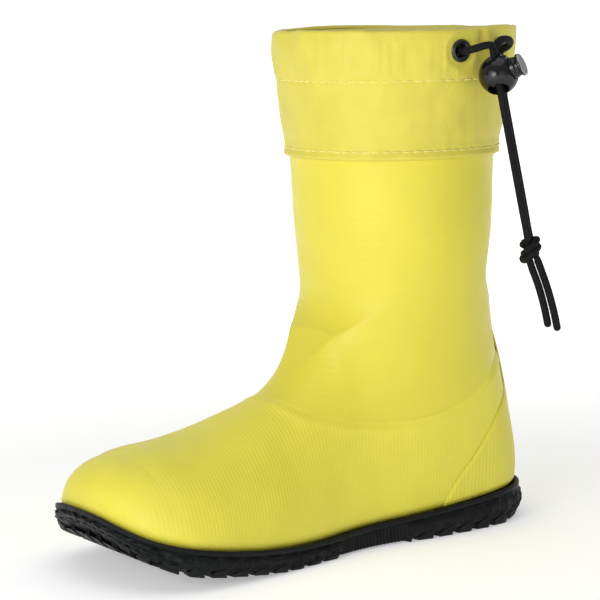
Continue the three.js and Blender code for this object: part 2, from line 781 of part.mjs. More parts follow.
piece(boot, 'drawcord_tunnel', makeTunnelCord(), blackCord);
piece(boot, 'drawcord_front_strand', makeStrand(eyelets.front, 1, vectors(frontArch)), blackCord);
piece(boot, 'drawcord_rear_strand', makeStrand(eyelets.rear, -1, vectors(rearArch)), blackCord);
piece(boot, 'drawcord_knot', makeKnot(), blackCord);
piece(boot, 'drawcord_front_tail', makeTail(-1, 30), blackCord);
piece(boot, 'drawcord_rear_tail', makeTail(1, 32), blackCord);

const lock = new THREE.Group();
lock.position.copy(lockCentre);
lock.quaternion.setFromRotationMatrix(new THREE.Matrix4().makeBasis(
  pairSide,
  plungerAxis.clone().cross(pairSide).normalize(),
  plungerAxis,
));
piece(lock, 'cord_lock_body', makeLockBody(), blackPlastic);
piece(lock, 'cord_lock_plunger', makePlunger(), blackPlastic);
piece(lock, 'cord_lock_spring', makeLockSpring(), springSteel);
boot.add(lock);

const model = new THREE.Group();
model.add(boot);
export default model;
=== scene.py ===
import math

import bpy
import numpy as np
from mathutils import Matrix, Vector


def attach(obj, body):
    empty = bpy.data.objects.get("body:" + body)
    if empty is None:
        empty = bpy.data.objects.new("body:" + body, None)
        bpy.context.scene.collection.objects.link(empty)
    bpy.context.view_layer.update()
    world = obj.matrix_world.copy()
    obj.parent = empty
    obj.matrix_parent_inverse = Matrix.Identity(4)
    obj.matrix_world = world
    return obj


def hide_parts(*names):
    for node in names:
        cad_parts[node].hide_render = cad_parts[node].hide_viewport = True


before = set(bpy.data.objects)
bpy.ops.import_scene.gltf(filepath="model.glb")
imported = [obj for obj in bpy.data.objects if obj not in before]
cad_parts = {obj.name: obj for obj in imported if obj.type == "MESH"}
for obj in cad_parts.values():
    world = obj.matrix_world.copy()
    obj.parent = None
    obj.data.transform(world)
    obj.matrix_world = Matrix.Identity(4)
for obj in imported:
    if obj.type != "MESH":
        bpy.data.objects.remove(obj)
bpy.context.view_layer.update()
scene = bpy.context.scene
scene.view_settings.view_transform = "Standard"

# Lengths below are in millimetres: ahead of the heel, to the outer side, and a height whose zero
# lies a little below the ground.
ORIGIN_AHEAD = 113.75
GROUND = 3.8
RNG = np.random.default_rng(7)


def metres(points):
    points = np.asarray(points, float)
    return (points - [ORIGIN_AHEAD, 0, GROUND]) / 1000


def unit(v):
    v = np.asarray(v, float)
    return v / np.linalg.norm(v, axis=-1, keepdims=True)


# ------------------------------------------------------------------ camera
def place_camera():
    data = bpy.data.cameras.new("camera")
    data.sensor_width = 36
    data.lens = 137.3
    data.clip_start = 0.05
    data.clip_end = 30
    camera = bpy.data.objects.new("camera", data)
    scene.collection.objects.link(camera)
    ahead = Vector((-0.5513, -0.8227, -0.1390)).normalized()
    right = Vector((-0.8291, 0.5587, -0.0189)).normalized()
    up = right.cross(ahead)
    turn = Matrix((right, up, -ahead)).transposed()
    camera.matrix_world = Matrix.Translation((0.61405, 0.9190, 0.2744)) @ turn.to_4x4()
    scene.camera = camera


place_camera()


# ------------------------------------------------------------------ curves and noise
def through(pairs, x):
    p = np.asarray(pairs, float)
    xs, ys = p[:, 0], p[:, 1]
    slope = np.diff(ys) / np.diff(xs)
    tangent = np.concatenate([slope[:1], (slope[:-1] + slope[1:]) / 2, slope[-1:]])
    x = np.clip(x, xs[0], xs[-1])
    i = np.clip(np.searchsorted(xs, x, side="right") - 1, 0, len(xs) - 2)
    w = xs[i + 1] - xs[i]
    t = (x - xs[i]) / w
    return (
        (2 * t**3 - 3 * t**2 + 1) * ys[i]
        + (t**3 - 2 * t**2 + t) * w * tangent[i]
        + (3 * t**2 - 2 * t**3) * ys[i + 1]
        + (t**3 - t**2) * w * tangent[i + 1]
    )


def step(low, high, x):
    t = np.clip((x - low) / (high - low), 0, 1)
    return t * t * (3 - 2 * t)


def bump(x, centre, width):
    return np.exp(-(((x - centre) / width) ** 2))


LATTICE = RNG.random((32, 32, 32)) * 2 - 1


def noise(p):
    """Smooth value noise from -1 to 1, one cell per unit."""
    p = np.asarray(p, float)
    i = np.floor(p).astype(int)
    f = p - i
    f = f * f * (3 - 2 * f)
    total = 0
    for corner in range(8):
        d = np.array([corner & 1, corner >> 1 & 1, corner >> 2 & 1])
        w = np.prod(np.where(d, f, 1 - f), axis=-1)
        j = (i + d) % 32
        total = total + w * LATTICE[j[..., 0], j[..., 1], j[..., 2]]
    return total


# ------------------------------------------------------------------ the boot's skin
FOOT_LENGTH = 236.0
SEAM = [[-10, 19.4], [14, 19], [32, 17.6], [51, 16.1], [70, 14.7], [88, 13.7], [107, 12.8], [128, 12.2],
        [148, 12.7], [167, 14.4], [185, 17.1], [200, 19.8], [213, 22.6], [224, 26], [231, 29.4],
        [236, 33], [241, 37.5]]
TREAD = [[-10, 3.8], [140, 3.8], [150, 3.8], [168, 5.2], [185, 7.3], [201, 9.6], [214, 12.2], [224, 16.6],
         [231, 20.8], [236, 25.5], [241, 32.5]]
SEAM_LATERAL = [[28.3, 26], [82.6, 31], [136.9, 44], [174.6, 51], [207.7, 54.5]]
SEAM_MEDIAL = [[28.3, 25.5], [82.6, 27.5], [136.9, 34.5], [174.6, 42], [207.7, 47.5]]
FOOT_HEIGHT = [[22, 37.3], [50, 45.2], [80, 56.7], [105, 67.5], [130, 88.4]]
LEG_FRONT = [[0, 94.4], [60, 95.9], [120, 99.8], [155, 102.7], [192, 105], [223, 108.5], [254, 110.3]]
LEG_BACK = [[0, 9], [30, 0.5], [60, 7.5], [90, 13], [120, 13], [155, 8.6], [192, 6.3], [223, 0.1],
            [254, -4.9]]
LEG_HALF = [[0, 28.3], [30, 32.8], [60, 37.4], [90, 42.4], [120, 46.4], [155, 49.6], [192, 50.4],
            [223, 54], [254, 56.2]]
LEG_ROUND = [[0, 2.6], [60, 2.5], [120, 2.15]]
ANKLE = [[56, 122, 0], [53, 98, 14], [50, 72, 27], [49, 54, 33], [72, 45, 38.5], [104, 41.5, 45.5],
         [136, 38.5, 59], [166, 38, 76], [190, 40, 90]]
LEG_CENTRE = 56
RUBBER_TOP = 224
HEM = 192


def smooth_min(a, b, k):
    h = np.clip(0.5 + 0.5 * (b - a) / k, 0, 1)
    return b + (a - b) * h - k * h * (1 - h)


def seam(ahead):
    return through(SEAM, ahead)


def tread(ahead):
    return np.maximum(GROUND, through(TREAD, ahead))


def super_radius(a, b, power):
    return (np.abs(a) ** power + np.abs(b) ** power) ** (1 / power)


def foot_field(s, y, z):
    toe = np.clip((s - (FOOT_LENGTH - 55)) / 55, 0, 1)
    heel = np.maximum(0, 24.5 - s) / 25
    half = np.where(y > 0, through(SEAM_LATERAL, s), through(SEAM_MEDIAL, s))
    half = np.maximum(1e-3, half * (1 - toe**2.8) ** (1 / 2.8))
    dome = np.clip(1 - (FOOT_LENGTH - s) / 34, 0, 1)
    rise = np.maximum(1e-3, through(FOOT_HEIGHT, FOOT_LENGTH - s) * (1 - dome**2.1) ** (1 / 2.1))
    above = np.maximum(0, z - seam(s))
    inside = (super_radius(np.hypot(y / half, heel), above / rise, 2.35) - 1) * np.minimum(half, rise)
    return np.maximum.reduce([inside, above - rise, s - FOOT_LENGTH])


def leg_field(s, y, z):
    back, front, half = through(LEG_BACK, z), through(LEG_FRONT, z), through(LEG_HALF, z)
    behind = s - (back + front) / 2
    power = np.where(behind < 0, through(LEG_ROUND, z), 2.15)
    return (super_radius(behind / ((front - back) / 2), y / half, power) - 1) * half


def field(p):
    s, y, z = p[..., 0], p[..., 1], p[..., 2]
    body = smooth_min(foot_field(s, y, z), leg_field(s, y, z), 30)
    return -smooth_min(-body, z - seam(s), 6)


def slope(p, reach=0.25):
    out = np.empty(p.shape)
    for k in range(3):
        d = np.zeros(3)
        d[k] = reach
        out[..., k] = (field(p + d) - field(p - d)) / (2 * reach)
    return out


def normals(p):
    return unit(slope(p))


def bisect(inside, low, high, times):
    """The last place, between two bounds, where inside is true."""
    for _ in range(times):
        middle = (low + high) / 2
        now = inside(middle)
        low, high = np.where(now, middle, low), np.where(now, high, middle)
    return low


def cast(origin, direction):
    """Where rays from inside the boot meet its skin."""
    shape = np.broadcast_shapes(origin.shape, direction.shape)
    o = np.broadcast_to(origin, shape).reshape(-1, 3)
    d = np.broadcast_to(direction, shape).reshape(-1, 3)
    low = np.zeros(len(o))
    high = np.full(len(o), 3.0)
    going = np.ones(len(o), bool)
    while going.any():
        k = np.flatnonzero(going)
        out = field(o[k] + d[k] * high[k, None]) >= 0
        going[k[out]] = False
        k = k[~out]
        low[k] = high[k]
        high[k] += 3
    reach = bisect(lambda t: field(o + d * t[:, None]) < 0, low, high, 18)
    return (o + d * reach[:, None]).reshape(shape)


def snap(p):
    """Points near the skin, moved onto it."""
    for _ in range(2):
        g = slope(p)
        p = p - g * (field(p) / np.maximum((g * g).sum(1), 0.2))[:, None]
    return p


# ------------------------------------------------------------------ meshes
def make_object(name, points, faces, material, angle=40):
    """A closed mesh from points in millimetres, turned the right way out."""
    mesh = bpy.data.meshes.new(name)
    faces = [f for group in faces for f in np.asarray(group).tolist()]
    mesh.from_pydata(metres(points).tolist(), [], faces)
    mesh.validate()
    mesh.calc_loop_triangles()
    t = np.array([x.vertices[:] for x in mesh.loop_triangles])
    v = np.array([x.co[:] for x in mesh.vertices])
    v = v - v.mean(0)
    volume = np.einsum("ij,ij->i", v[t[:, 0]], np.cross(v[t[:, 1]], v[t[:, 2]])).sum()
    if volume < 0:
        mesh.flip_normals()
    mesh.shade_smooth()
    mesh.set_sharp_from_angle(angle=math.radians(angle))
    mesh.materials.append(material)
    o = bpy.data.objects.new(name, mesh)
    scene.collection.objects.link(o)
    return o


def declare(o, body, nodes):
    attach(o, body)
    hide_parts(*nodes)
    return o


def loop_faces(rings, columns):
    """Quads between rings of points that follow each other and close on the first ring."""
    i = np.arange(rings)[:, None] * columns
    j = np.arange(columns)[None]
    k = (j + 1) % columns
    n = (i + columns) % (rings * columns)
    return np.stack([i + j, i + k, n + k, n + j], -1).reshape(-1, 4)


def ring_faces(rings, columns):
    """The same quads without the row that closes them."""
    return loop_faces(rings, columns)[: (rings - 1) * columns]


def halves(quads):
    return np.concatenate([quads[:, [0, 1, 2]], quads[:, [0, 2, 3]]])


def split(points, tris, value, level):
    """Cuts triangles along a level of a value that is known at the points."""
    v = value - level
    v = np.where(np.abs(v) < 1e-4, 1e-4, v)
    inside = v[tris] > 0
    count = inside.sum(1)
    whole = (count == 0) | (count == 3)
    cut = tris[~whole]
    lone = np.where(count[~whole, None] == 1, inside[~whole], ~inside[~whole]).argmax(1)
    rows = np.arange(len(cut))
    a, b, c = (cut[rows, (lone + n) % 3] for n in range(3))
    edges = np.sort(np.concatenate([np.stack([a, b], 1), np.stack([a, c], 1)]), 1)
    both, index = np.unique(edges, axis=0, return_inverse=True)
    index = index.reshape(-1)
    t = (v[both[:, 0]] / (v[both[:, 0]] - v[both[:, 1]]))[:, None]
    new = points[both[:, 0]] * (1 - t) + points[both[:, 1]] * t
    ab = index[: len(cut)] + len(points)
    ac = index[len(cut):] + len(points)
    tris = np.concatenate([
        tris[whole], np.stack([a, ab, ac], 1), np.stack([ab, b, c], 1), np.stack([ab, c, ac], 1),
    ])
    return np.concatenate([points, new]), tris, np.concatenate([value, np.full(len(new), level)])


def trim(points, tris, measure, levels):
    """The part of a surface where measure(points) is above zero, with lines of points at levels."""
    value = measure(points)
    for level in levels:
        points, tris, value = split(points, tris, value, level)
    tris = tris[(value[tris] >= -1e-6).all(1)]
    used, index = np.unique(tris, return_inverse=True)
    return points[used], index.reshape(tris.shape), value[used]


def thicken(points, tris, outer, inner):
    """A closed shell between two offsets from the skin."""
    n = normals(points)
    count = len(points)
    both = np.concatenate([points + n * np.reshape(outer, (-1, 1)), points + n * np.reshape(inner, (-1, 1))])
    edges = np.concatenate([tris[:, [0, 1]], tris[:, [1, 2]], tris[:, [2, 0]]])
    key = edges[:, 0] * count + edges[:, 1]
    back = edges[:, 1] * count + edges[:, 0]
    rim = edges[~np.isin(key, back)]
    walls = np.stack([rim[:, 1], rim[:, 0], rim[:, 0] + count, rim[:, 1] + count], 1)
    return both, [tris, tris[:, ::-1] + count, walls]


def catmull(points, spacing):
    """A centripetal curve through points, sampled at even steps."""
    p = np.asarray(points, float)
    p = np.concatenate([[2 * p[0] - p[1]], p, [2 * p[-1] - p[-2]]])
    out = []
    for i in range(1, len(p) - 2):
        q = p[i - 1: i + 3]
        k = np.concatenate([[0], np.cumsum(np.linalg.norm(np.diff(q, axis=0), axis=1) ** 0.5)])
        t = np.linspace(k[1], k[2], 40)[:-1, None]
        a = [(k[j + 1] - t) / (k[j + 1] - k[j]) * q[j] + (t - k[j]) / (k[j + 1] - k[j]) * q[j + 1]
             for j in range(3)]
        b = [(k[j + 2] - t) / (k[j + 2] - k[j]) * a[j] + (t - k[j]) / (k[j + 2] - k[j]) * a[j + 1]
             for j in range(2)]
        out.append((k[2] - t) / (k[2] - k[1]) * b[0] + (t - k[1]) / (k[2] - k[1]) * b[1])
    out = np.concatenate([*out, p[-2][None]])
    return even(out, spacing)


def even(line, spacing):
    at = np.concatenate([[0], np.cumsum(np.linalg.norm(np.diff(line, axis=0), axis=1))])
    count = max(2, int(round(at[-1] / spacing)) + 1)
    where = np.linspace(0, at[-1], count)
    return np.stack([np.interp(where, at, line[:, k]) for k in range(3)], 1)


def line_length(line):
    return float(np.linalg.norm(np.diff(line, axis=0), axis=1).sum())


def sweep(line, radius, sides, braid, pitch):
    """A tube along a line. Its radius may vary; braid is the height of its plaited strands."""
    count = len(line)
    along = unit(np.gradient(line, axis=0))
    across = np.cross(along[0], [0.3, 0.2, 0.9])
    frames = []
    for t in along:
        across = across - t * (across @ t)
        across = across / np.linalg.norm(across)
        frames.append((across, np.cross(t, across)))
    u, v = (np.array([f[k] for f in frames]) for k in range(2))
    a = np.arange(sides) / sides * 2 * math.pi
    at = np.concatenate([[0], np.cumsum(np.linalg.norm(np.diff(line, axis=0), axis=1))])
    turn = at[:, None] * 2 * math.pi / pitch
    one = np.abs(np.sin(4 * a[None] + turn))
    two = np.abs(np.sin(4 * a[None] - turn))
    r = np.broadcast_to(np.asarray(radius, float).reshape(-1, 1), (count, 1))
    r = r + braid * (np.maximum(one, two) - 1)
    rings = line[:, None] + (u[:, None] * np.cos(a)[None, :, None] + v[:, None] * np.sin(a)[None, :, None]) \
        * r[..., None]
    points = rings.reshape(-1, 3)
    faces = [ring_faces(count, sides)]
    for end, sign in ((0, -1), (count - 1, 1)):
        base = float(np.ravel(r[end]).mean())
        first = len(points)
        ring = [line[end] + along[end] * sign * base * math.sin(f) + (rings[end] - line[end]) * math.cos(f)
                for f in (math.radians(30), math.radians(60))]
        tip = line[end] + along[end] * sign * base
        points = np.concatenate([points, *ring, tip[None]])
        order = np.concatenate([np.arange(sides) + end * sides, np.arange(2 * sides) + first])
        strip = order[ring_faces(3, sides)]
        top = first + sides + np.arange(sides)
        fan = np.stack([top, np.roll(top, -1), np.full(sides, first + 2 * sides)], 1)
        faces += [strip[:, ::sign], fan[:, ::sign]]
    return points, faces


def gather(parts):
    """Several (points, faces) bodies as one."""
    points, faces, count = [], [], 0
    for p, f in parts:
        points.append(p)
        faces += [np.asarray(g) + count for g in f]
        count += len(p)
    return np.concatenate(points), faces


def lathe(profile, sides):
    """A closed profile of [radius, height] points turned about Z."""
    a = np.arange(sides) / sides * 2 * math.pi
    p = np.asarray(profile, float)
    points = np.stack([
        p[:, None, 0] * np.cos(a), p[:, None, 0] * np.sin(a), np.broadcast_to(p[:, 1:2], (len(p), sides)),
    ], -1)
    return points


def settle(points, origin, x, z):
    """Local points into the boot's frame, from an origin and two axes."""
    x, z = unit(x), unit(z)
    y = np.cross(z, x)
    return np.asarray(origin) + points @ np.stack([x, y, z])


def cut(o, cutters):
    for cutter in cutters:
        m = o.modifiers.new("cut", "BOOLEAN")
        m.operation = "DIFFERENCE"
        m.solver = "EXACT"
        m.object = cutter
        with bpy.context.temp_override(object=o, active_object=o, selected_objects=[o]):
            bpy.ops.object.modifier_apply(modifier="cut")
        bpy.data.objects.remove(cutter)
    o.data.shade_smooth()
    o.data.set_sharp_from_angle(angle=math.radians(34))


# ------------------------------------------------------------------ materials
def map_range(tree, value, from_min, from_max, to_min, to_max):
    span = tree.nodes.new("ShaderNodeMapRange")
    ends = {"From Min": from_min, "From Max": from_max, "To Min": to_min, "To Max": to_max}
    for name, number in ends.items():
        span.inputs[name].default_value = number
    tree.links.new(value, span.inputs["Value"])
    return span.outputs["Result"]


def material(name, colour, rough, layers=(), patch=0.06, patch_scale=60, rough_vary=0.08, coat=0.0,
             metallic=0.0, sheen=0.0, spec=0.5):
    """Colour that drifts a little, uneven gloss, and bump layers: (kind, scale, height in mm, stretch)."""
    m = bpy.data.materials.new(name)
    m.use_nodes = True
    nodes, links = m.node_tree.nodes, m.node_tree.links
    shader = nodes["Principled BSDF"]
    place = nodes.new("ShaderNodeTexCoord")

    def mapped(stretch):
        mapping = nodes.new("ShaderNodeMapping")
        mapping.inputs["Scale"].default_value = stretch
        links.new(place.outputs["Object"], mapping.inputs["Vector"])
        return mapping.outputs["Vector"]

    drift = nodes.new("ShaderNodeTexNoise")
    drift.inputs["Scale"].default_value = patch_scale
    drift.inputs["Detail"].default_value = 5
    links.new(mapped((1, 1, 1)), drift.inputs["Vector"])
    ramp = nodes.new("ShaderNodeValToRGB")
    ramp.color_ramp.elements[0].position = 0.3
    ramp.color_ramp.elements[1].position = 0.7
    ramp.color_ramp.elements[0].color = [c * (1 - patch) for c in colour] + [1]
    ramp.color_ramp.elements[1].color = [min(1, c * (1 + patch)) for c in colour] + [1]
    links.new(drift.outputs["Fac"], ramp.inputs["Fac"])
    links.new(ramp.outputs["Color"], shader.inputs["Base Color"])

    shine = nodes.new("ShaderNodeTexNoise")
    shine.inputs["Scale"].default_value = patch_scale * 4
    shine.inputs["Detail"].default_value = 3
    links.new(mapped((1, 1, 1)), shine.inputs["Vector"])
    gloss = map_range(m.node_tree, shine.outputs["Fac"], 0.3, 0.7, rough - rough_vary, rough + rough_vary)
    links.new(gloss, shader.inputs["Roughness"])

    normal = None
    for kind, scale, height, stretch in layers:
        if kind == "noise":
            texture = nodes.new("ShaderNodeTexNoise")
            texture.inputs["Detail"].default_value = 4
        elif kind == "cells":
            texture = nodes.new("ShaderNodeTexVoronoi")
            texture.feature = "F1"
        else:
            texture = nodes.new("ShaderNodeTexWave")
            texture.wave_type = "BANDS"
            texture.bands_direction = kind
            texture.inputs["Distortion"].default_value = 1.2
            texture.inputs["Detail"].default_value = 1
            texture.inputs["Detail Scale"].default_value = 0.6
        texture.inputs["Scale"].default_value = scale
        links.new(mapped(stretch), texture.inputs["Vector"])
        bumps = nodes.new("ShaderNodeBump")
        bumps.inputs["Strength"].default_value = 1
        bumps.inputs["Distance"].default_value = height / 1000
        links.new(texture.outputs["Distance" if kind == "cells" else "Fac"], bumps.inputs["Height"])
        if normal is not None:
            links.new(normal, bumps.inputs["Normal"])
        normal = bumps.outputs["Normal"]
    if normal is not None:
        links.new(normal, shader.inputs["Normal"])
    shader.inputs["Metallic"].default_value = metallic
    shader.inputs["Coat Weight"].default_value = coat
    shader.inputs["Coat Roughness"].default_value = 0.08
    shader.inputs["Sheen Weight"].default_value = sheen
    shader.inputs["Specular IOR Level"].default_value = spec
    return m


ONE = (1, 1, 1)
YELLOW = (0.74, 0.655, 0.058)
rubber = material("upper rubber", YELLOW, 0.42, [
    ("noise", 900, 0.05, ONE), ("Z", 95, 0.035, (1, 1, 1)),
], patch=0.03, patch_scale=25, spec=0.35)
ribbed = material("ribbed rubber", (0.78, 0.70, 0.072), 0.46, [
    ("noise", 1200, 0.05, ONE), ("X", 165, 0.05, (1, 0.25, 0.45)),
], patch=0.04, patch_scale=40, spec=0.32)
counter = material("heel rubber", (0.77, 0.69, 0.070), 0.48, [
    ("noise", 1000, 0.06, ONE), ("X", 130, 0.09, (1, 0.5, 0.5)),
], patch=0.04, patch_scale=50, spec=0.32)
leather = material("collar leather", (0.67, 0.585, 0.075), 0.5, [
    ("cells", 900, 0.07, (1, 1, 0.8)), ("noise", 160, 0.22, (1, 1, 0.55)), ("noise", 2600, 0.03, ONE),
], patch=0.045, patch_scale=70, sheen=0.05, spec=0.35)
facing_cloth = material("facing cloth", (0.72, 0.64, 0.17), 0.85, [
    ("Z", 900, 0.08, ONE), ("X", 900, 0.08, ONE),
], sheen=0.1)
knit = material("lining knit", (0.48, 0.48, 0.45), 0.95, [
    ("Z", 420, 0.2, ONE), ("cells", 1000, 0.15, (1, 1, 0.6)),
], sheen=0.2)
sole_rubber = material("sole rubber", (0.006, 0.0068, 0.0075), 0.5, [
    ("noise", 700, 0.12, ONE), ("cells", 1400, 0.05, ONE),
], patch=0.25, patch_scale=120, rough_vary=0.12, spec=0.16)
board = material("fibre board", (0.60, 0.55, 0.43), 0.9, [("noise", 1500, 0.1, (1, 0.3, 1))], patch=0.1)
footbed_cloth = material("footbed cloth", (0.045, 0.048, 0.052), 0.95, [
    ("X", 700, 0.15, ONE), ("Y", 700, 0.15, ONE),
], patch=0.15, sheen=0.25)
yarn = material("stitch thread", (0.86, 0.78, 0.22), 0.6, [("X", 1500, 0.08, (1, 1, 0.5))], patch=0.08)
lacquer = material("black lacquer", (0.011, 0.011, 0.012), 0.28, [("noise", 500, 0.03, ONE)],
                   patch=0.2, coat=0.3)
braid = material("black braid", (0.006, 0.0065, 0.0075), 0.6, [
    ("noise", 2600, 0.12, (1, 1, 0.25)), ("cells", 2200, 0.08, (1, 1, 0.3)),
], patch=0.35, patch_scale=500, sheen=0.02, spec=0.12)
plastic = material("lock plastic", (0.005, 0.005, 0.006), 0.16, [("noise", 220, 0.02, ONE)],
                   patch=0.2, rough_vary=0.05, spec=0.4)
# Mid grey painted on the plunger's end face is a painted highlight, lighter than the button's own dark matte
# plastic.
button_face_highlight = material("button face painted highlight", (0.30, 0.30, 0.30), 0.42, [("noise", 900, 0.04, ONE)], patch=0.12)
wire = material("spring wire", (0.56, 0.57, 0.58), 0.28, [("noise", 3000, 0.02, ONE)], metallic=1.0)


# ------------------------------------------------------------------ skin grids
COLUMNS = 256
RING = -(np.arange(COLUMNS) + 0.5) / COLUMNS * 2 * math.pi


def section_rays(ahead, height, tilt):
    """Section centres and their rings of directions; each argument is one value for each section."""
    centre = np.stack([ahead, np.zeros(len(ahead)), height], 1)[:, None]
    tilt = np.radians(tilt)[:, None]
    direction = np.stack([
        np.cos(RING) * np.cos(tilt), np.broadcast_to(np.sin(RING), (len(ahead), COLUMNS)),
        np.cos(RING) * np.sin(tilt),
    ], -1)
    return centre, direction


def skin_grid(leg_rows=66, ankle_rows=120, toe_rows=58):
    heights = np.linspace(RUBBER_TOP, 122, leg_rows + 1)[:-1]
    rows = [cast(*section_rays(np.full(leg_rows, 56.0), heights, np.zeros(leg_rows)))]
    knots = np.array(ANKLE, float)
    at = np.linspace(0, 1, ankle_rows + 1)
    place = [through(np.stack([np.arange(len(knots)) / (len(knots) - 1), knots[:, k]], 1), at)
             for k in range(3)]
    rows.append(cast(*section_rays(*place)))
    swing = (np.arange(1, toe_rows + 1) / toe_rows) * math.pi / 2
    swing = swing[:, None]
    direction = np.stack([
        np.broadcast_to(np.sin(swing), (toe_rows, COLUMNS)), np.cos(swing) * np.sin(RING),
        np.cos(swing) * np.cos(RING),
    ], -1)
    rows.append(cast(np.array([[[190.0, 0, 40.0]]]), direction)[:-1])
    grid = np.concatenate(rows)
    tip = cast(np.array([[190.0, 0, 40.0]]), np.array([[1.0, 0, 0]]))
    count = len(grid) * COLUMNS
    last = count - COLUMNS + np.arange(COLUMNS)
    fan = np.stack([last, np.roll(last, -1), np.full(COLUMNS, count)], 1)
    points = np.concatenate([grid.reshape(-1, 3), tip])
    tris = np.concatenate([halves(ring_faces(len(grid), COLUMNS)), fan])
    return points, tris


SKIN, SKIN_TRIS = skin_grid()


def below_line(points, line):
    """Distance below a side-view line of (ahead, height), as a value at each point."""
    line = np.array(sorted(line), float)
    height = through(line, points[:, 0])
    middles = (line[1:, 0] + line[:-1, 0]) / 2
    climbs = np.diff(line[:, 1]) / np.diff(line[:, 0])
    climb = through(np.stack([middles, climbs], 1), points[:, 0])
    return (height - points[:, 2]) / np.hypot(1, climb)


def make_upper():
    thickness = 0.22 * noise(SKIN / [24, 24, 18]) + 0.06 * noise(SKIN / 7)
    rim = step(224, 222.6, SKIN[:, 2])
    points, faces = thicken(SKIN, SKIN_TRIS, thickness * 0.6 - 0.35 * (1 - rim), -1.8)
    declare(make_object("rubber_shell", points, faces, rubber), "boot", ["upper_shell"])


RIDGE = [(-30, 108), (14, 88), (36, 74), (62, 66), (88, 65), (112, 69), (133, 78), (146, 96), (190, 150),
         (260, 230)]
COUNTER = [(-30, 84), (13, 66), (34, 44), (52, 24), (64, 0)]


def rounded(value, reach):
    t = np.clip(value / reach, 0, 1)
    return np.sqrt(1 - (1 - t) ** 2)


def make_foot_overlay():
    def inside(p):
        return np.minimum(below_line(p, RIDGE), p[:, 2] - seam(p[:, 0]) - 0.5)

    points, tris, value = trim(SKIN, SKIN_TRIS, inside, (0, 0.4, 1.2, 2.2, 3.4, 4.8, 6.5))
    points = snap(points)
    ridge = bump(value, 3.8, 2.6) * (points[:, 2] > seam(points[:, 0]) + 6)
    outer = 0.08 + 0.72 * step(0, 5.5, value) + 0.24 * ridge + 0.05 * noise(points / 9)
    points, faces = thicken(points, tris, outer, 0.04)
    declare(make_object("foot_overlay_skin", points, faces, ribbed, 30), "boot", ["foot_overlay"])


def make_heel_overlay():
    def inside(p):
        return np.minimum(below_line(p, COUNTER), p[:, 2] - seam(p[:, 0]) - 2.7) - 20 * (p[:, 0] > 70)

    points, tris, value = trim(SKIN, SKIN_TRIS, inside, (0, 0.4, 0.9, 1.5, 2.2, 3.0))
    points = snap(points)
    low = points[:, 2] < seam(points[:, 0]) + 6
    bead = bump(value, 2.2, 1.3) * ~low
    outer = 1.03 + 0.46 * step(0, 2.4, value) + 0.22 * bead + 0.04 * noise(points / 6)
    points, faces = thicken(points, tris, outer, 0.98)
    declare(make_object("heel_counter_skin", points, faces, counter, 30), "boot", ["heel_overlay"])


def strip_half_width(height):
    return through([[20, 16], [60, 16], [80, 15.4], [94, 12.6], [101, 9], [104.5, 3]], height)


def make_back_strip():
    def inside(p):
        side = strip_half_width(p[:, 2]) - np.abs(p[:, 1])
        ends = np.minimum(p[:, 2] - 22, 104.5 - p[:, 2])
        return np.minimum(np.minimum(side, ends), 40 - p[:, 0])

    points, tris, value = trim(SKIN, SKIN_TRIS, inside, (0, 0.3, 0.8, 1.4, 2.0, 2.7, 3.6))
    points = snap(points)
    side = strip_half_width(points[:, 2]) - np.abs(points[:, 1])
    outer = 2.35 + 0.7 * rounded(value, 1.0) + 0.3 * bump(side, 1.5, 0.7) - 0.25 * bump(side, 3.1, 0.6)
    outer = outer + 0.18 * bump(side, 4.6, 0.9)
    points, faces = thicken(points, tris, outer, 2.3)
    declare(make_object("heel_strip", points, faces, counter, 30), "boot", ["back_strip"])


def make_lining():
    keep = SKIN[:, 2] < 222.01
    tris = SKIN_TRIS[keep[SKIN_TRIS].all(1)]
    used, index = np.unique(tris, return_inverse=True)
    points = SKIN[used]
    outer = -2.42 + 0.05 * noise(points / 5)
    points, faces = thicken(points, index.reshape(tris.shape), outer, -3.4)
    declare(make_object("lining_knit", points, faces, knit), "boot", ["lining"])


make_upper()
make_foot_overlay()
make_heel_overlay()
make_back_strip()
make_lining()


# ------------------------------------------------------------------ collar
WALL = 1.6
EYELETS = {
    "front": (np.array([56.053, 57.185, 243.0]), unit([0.02825, 0.99758, -0.06353])),
    "rear": (np.array([30.440, 53.348, 243.0]), unit([-0.35426, 0.93088, -0.08924])),
}
FOLD_ANGLE = math.atan2(55.4, 43.3 - LEG_CENTRE)
STITCHES = 66
STITCH_ROWS = {"tunnel": 229.5, "hem": HEM + 4}


def band_grid(profile, columns):
    """Skin points, normals, ring angles and the profile's own offsets for a band round the leg."""
    p = np.asarray(profile, float)
    angle = np.arange(columns) / columns * 2 * math.pi
    direction = np.stack([np.cos(angle), np.sin(angle), np.zeros(columns)], -1)[None]
    origin = np.stack([np.full(len(p), float(LEG_CENTRE)), np.zeros(len(p)), p[:, 1]], 1)[:, None]
    skin = cast(origin, np.broadcast_to(direction, (len(p), columns, 3)))
    return skin, normals(skin), np.broadcast_to(angle, (len(p), columns)), p


def arc_gap(angle, centre):
    """Distance round the leg from a line at one ring angle."""
    turn = (angle - centre + math.pi) % (2 * math.pi) - math.pi
    return turn * 55


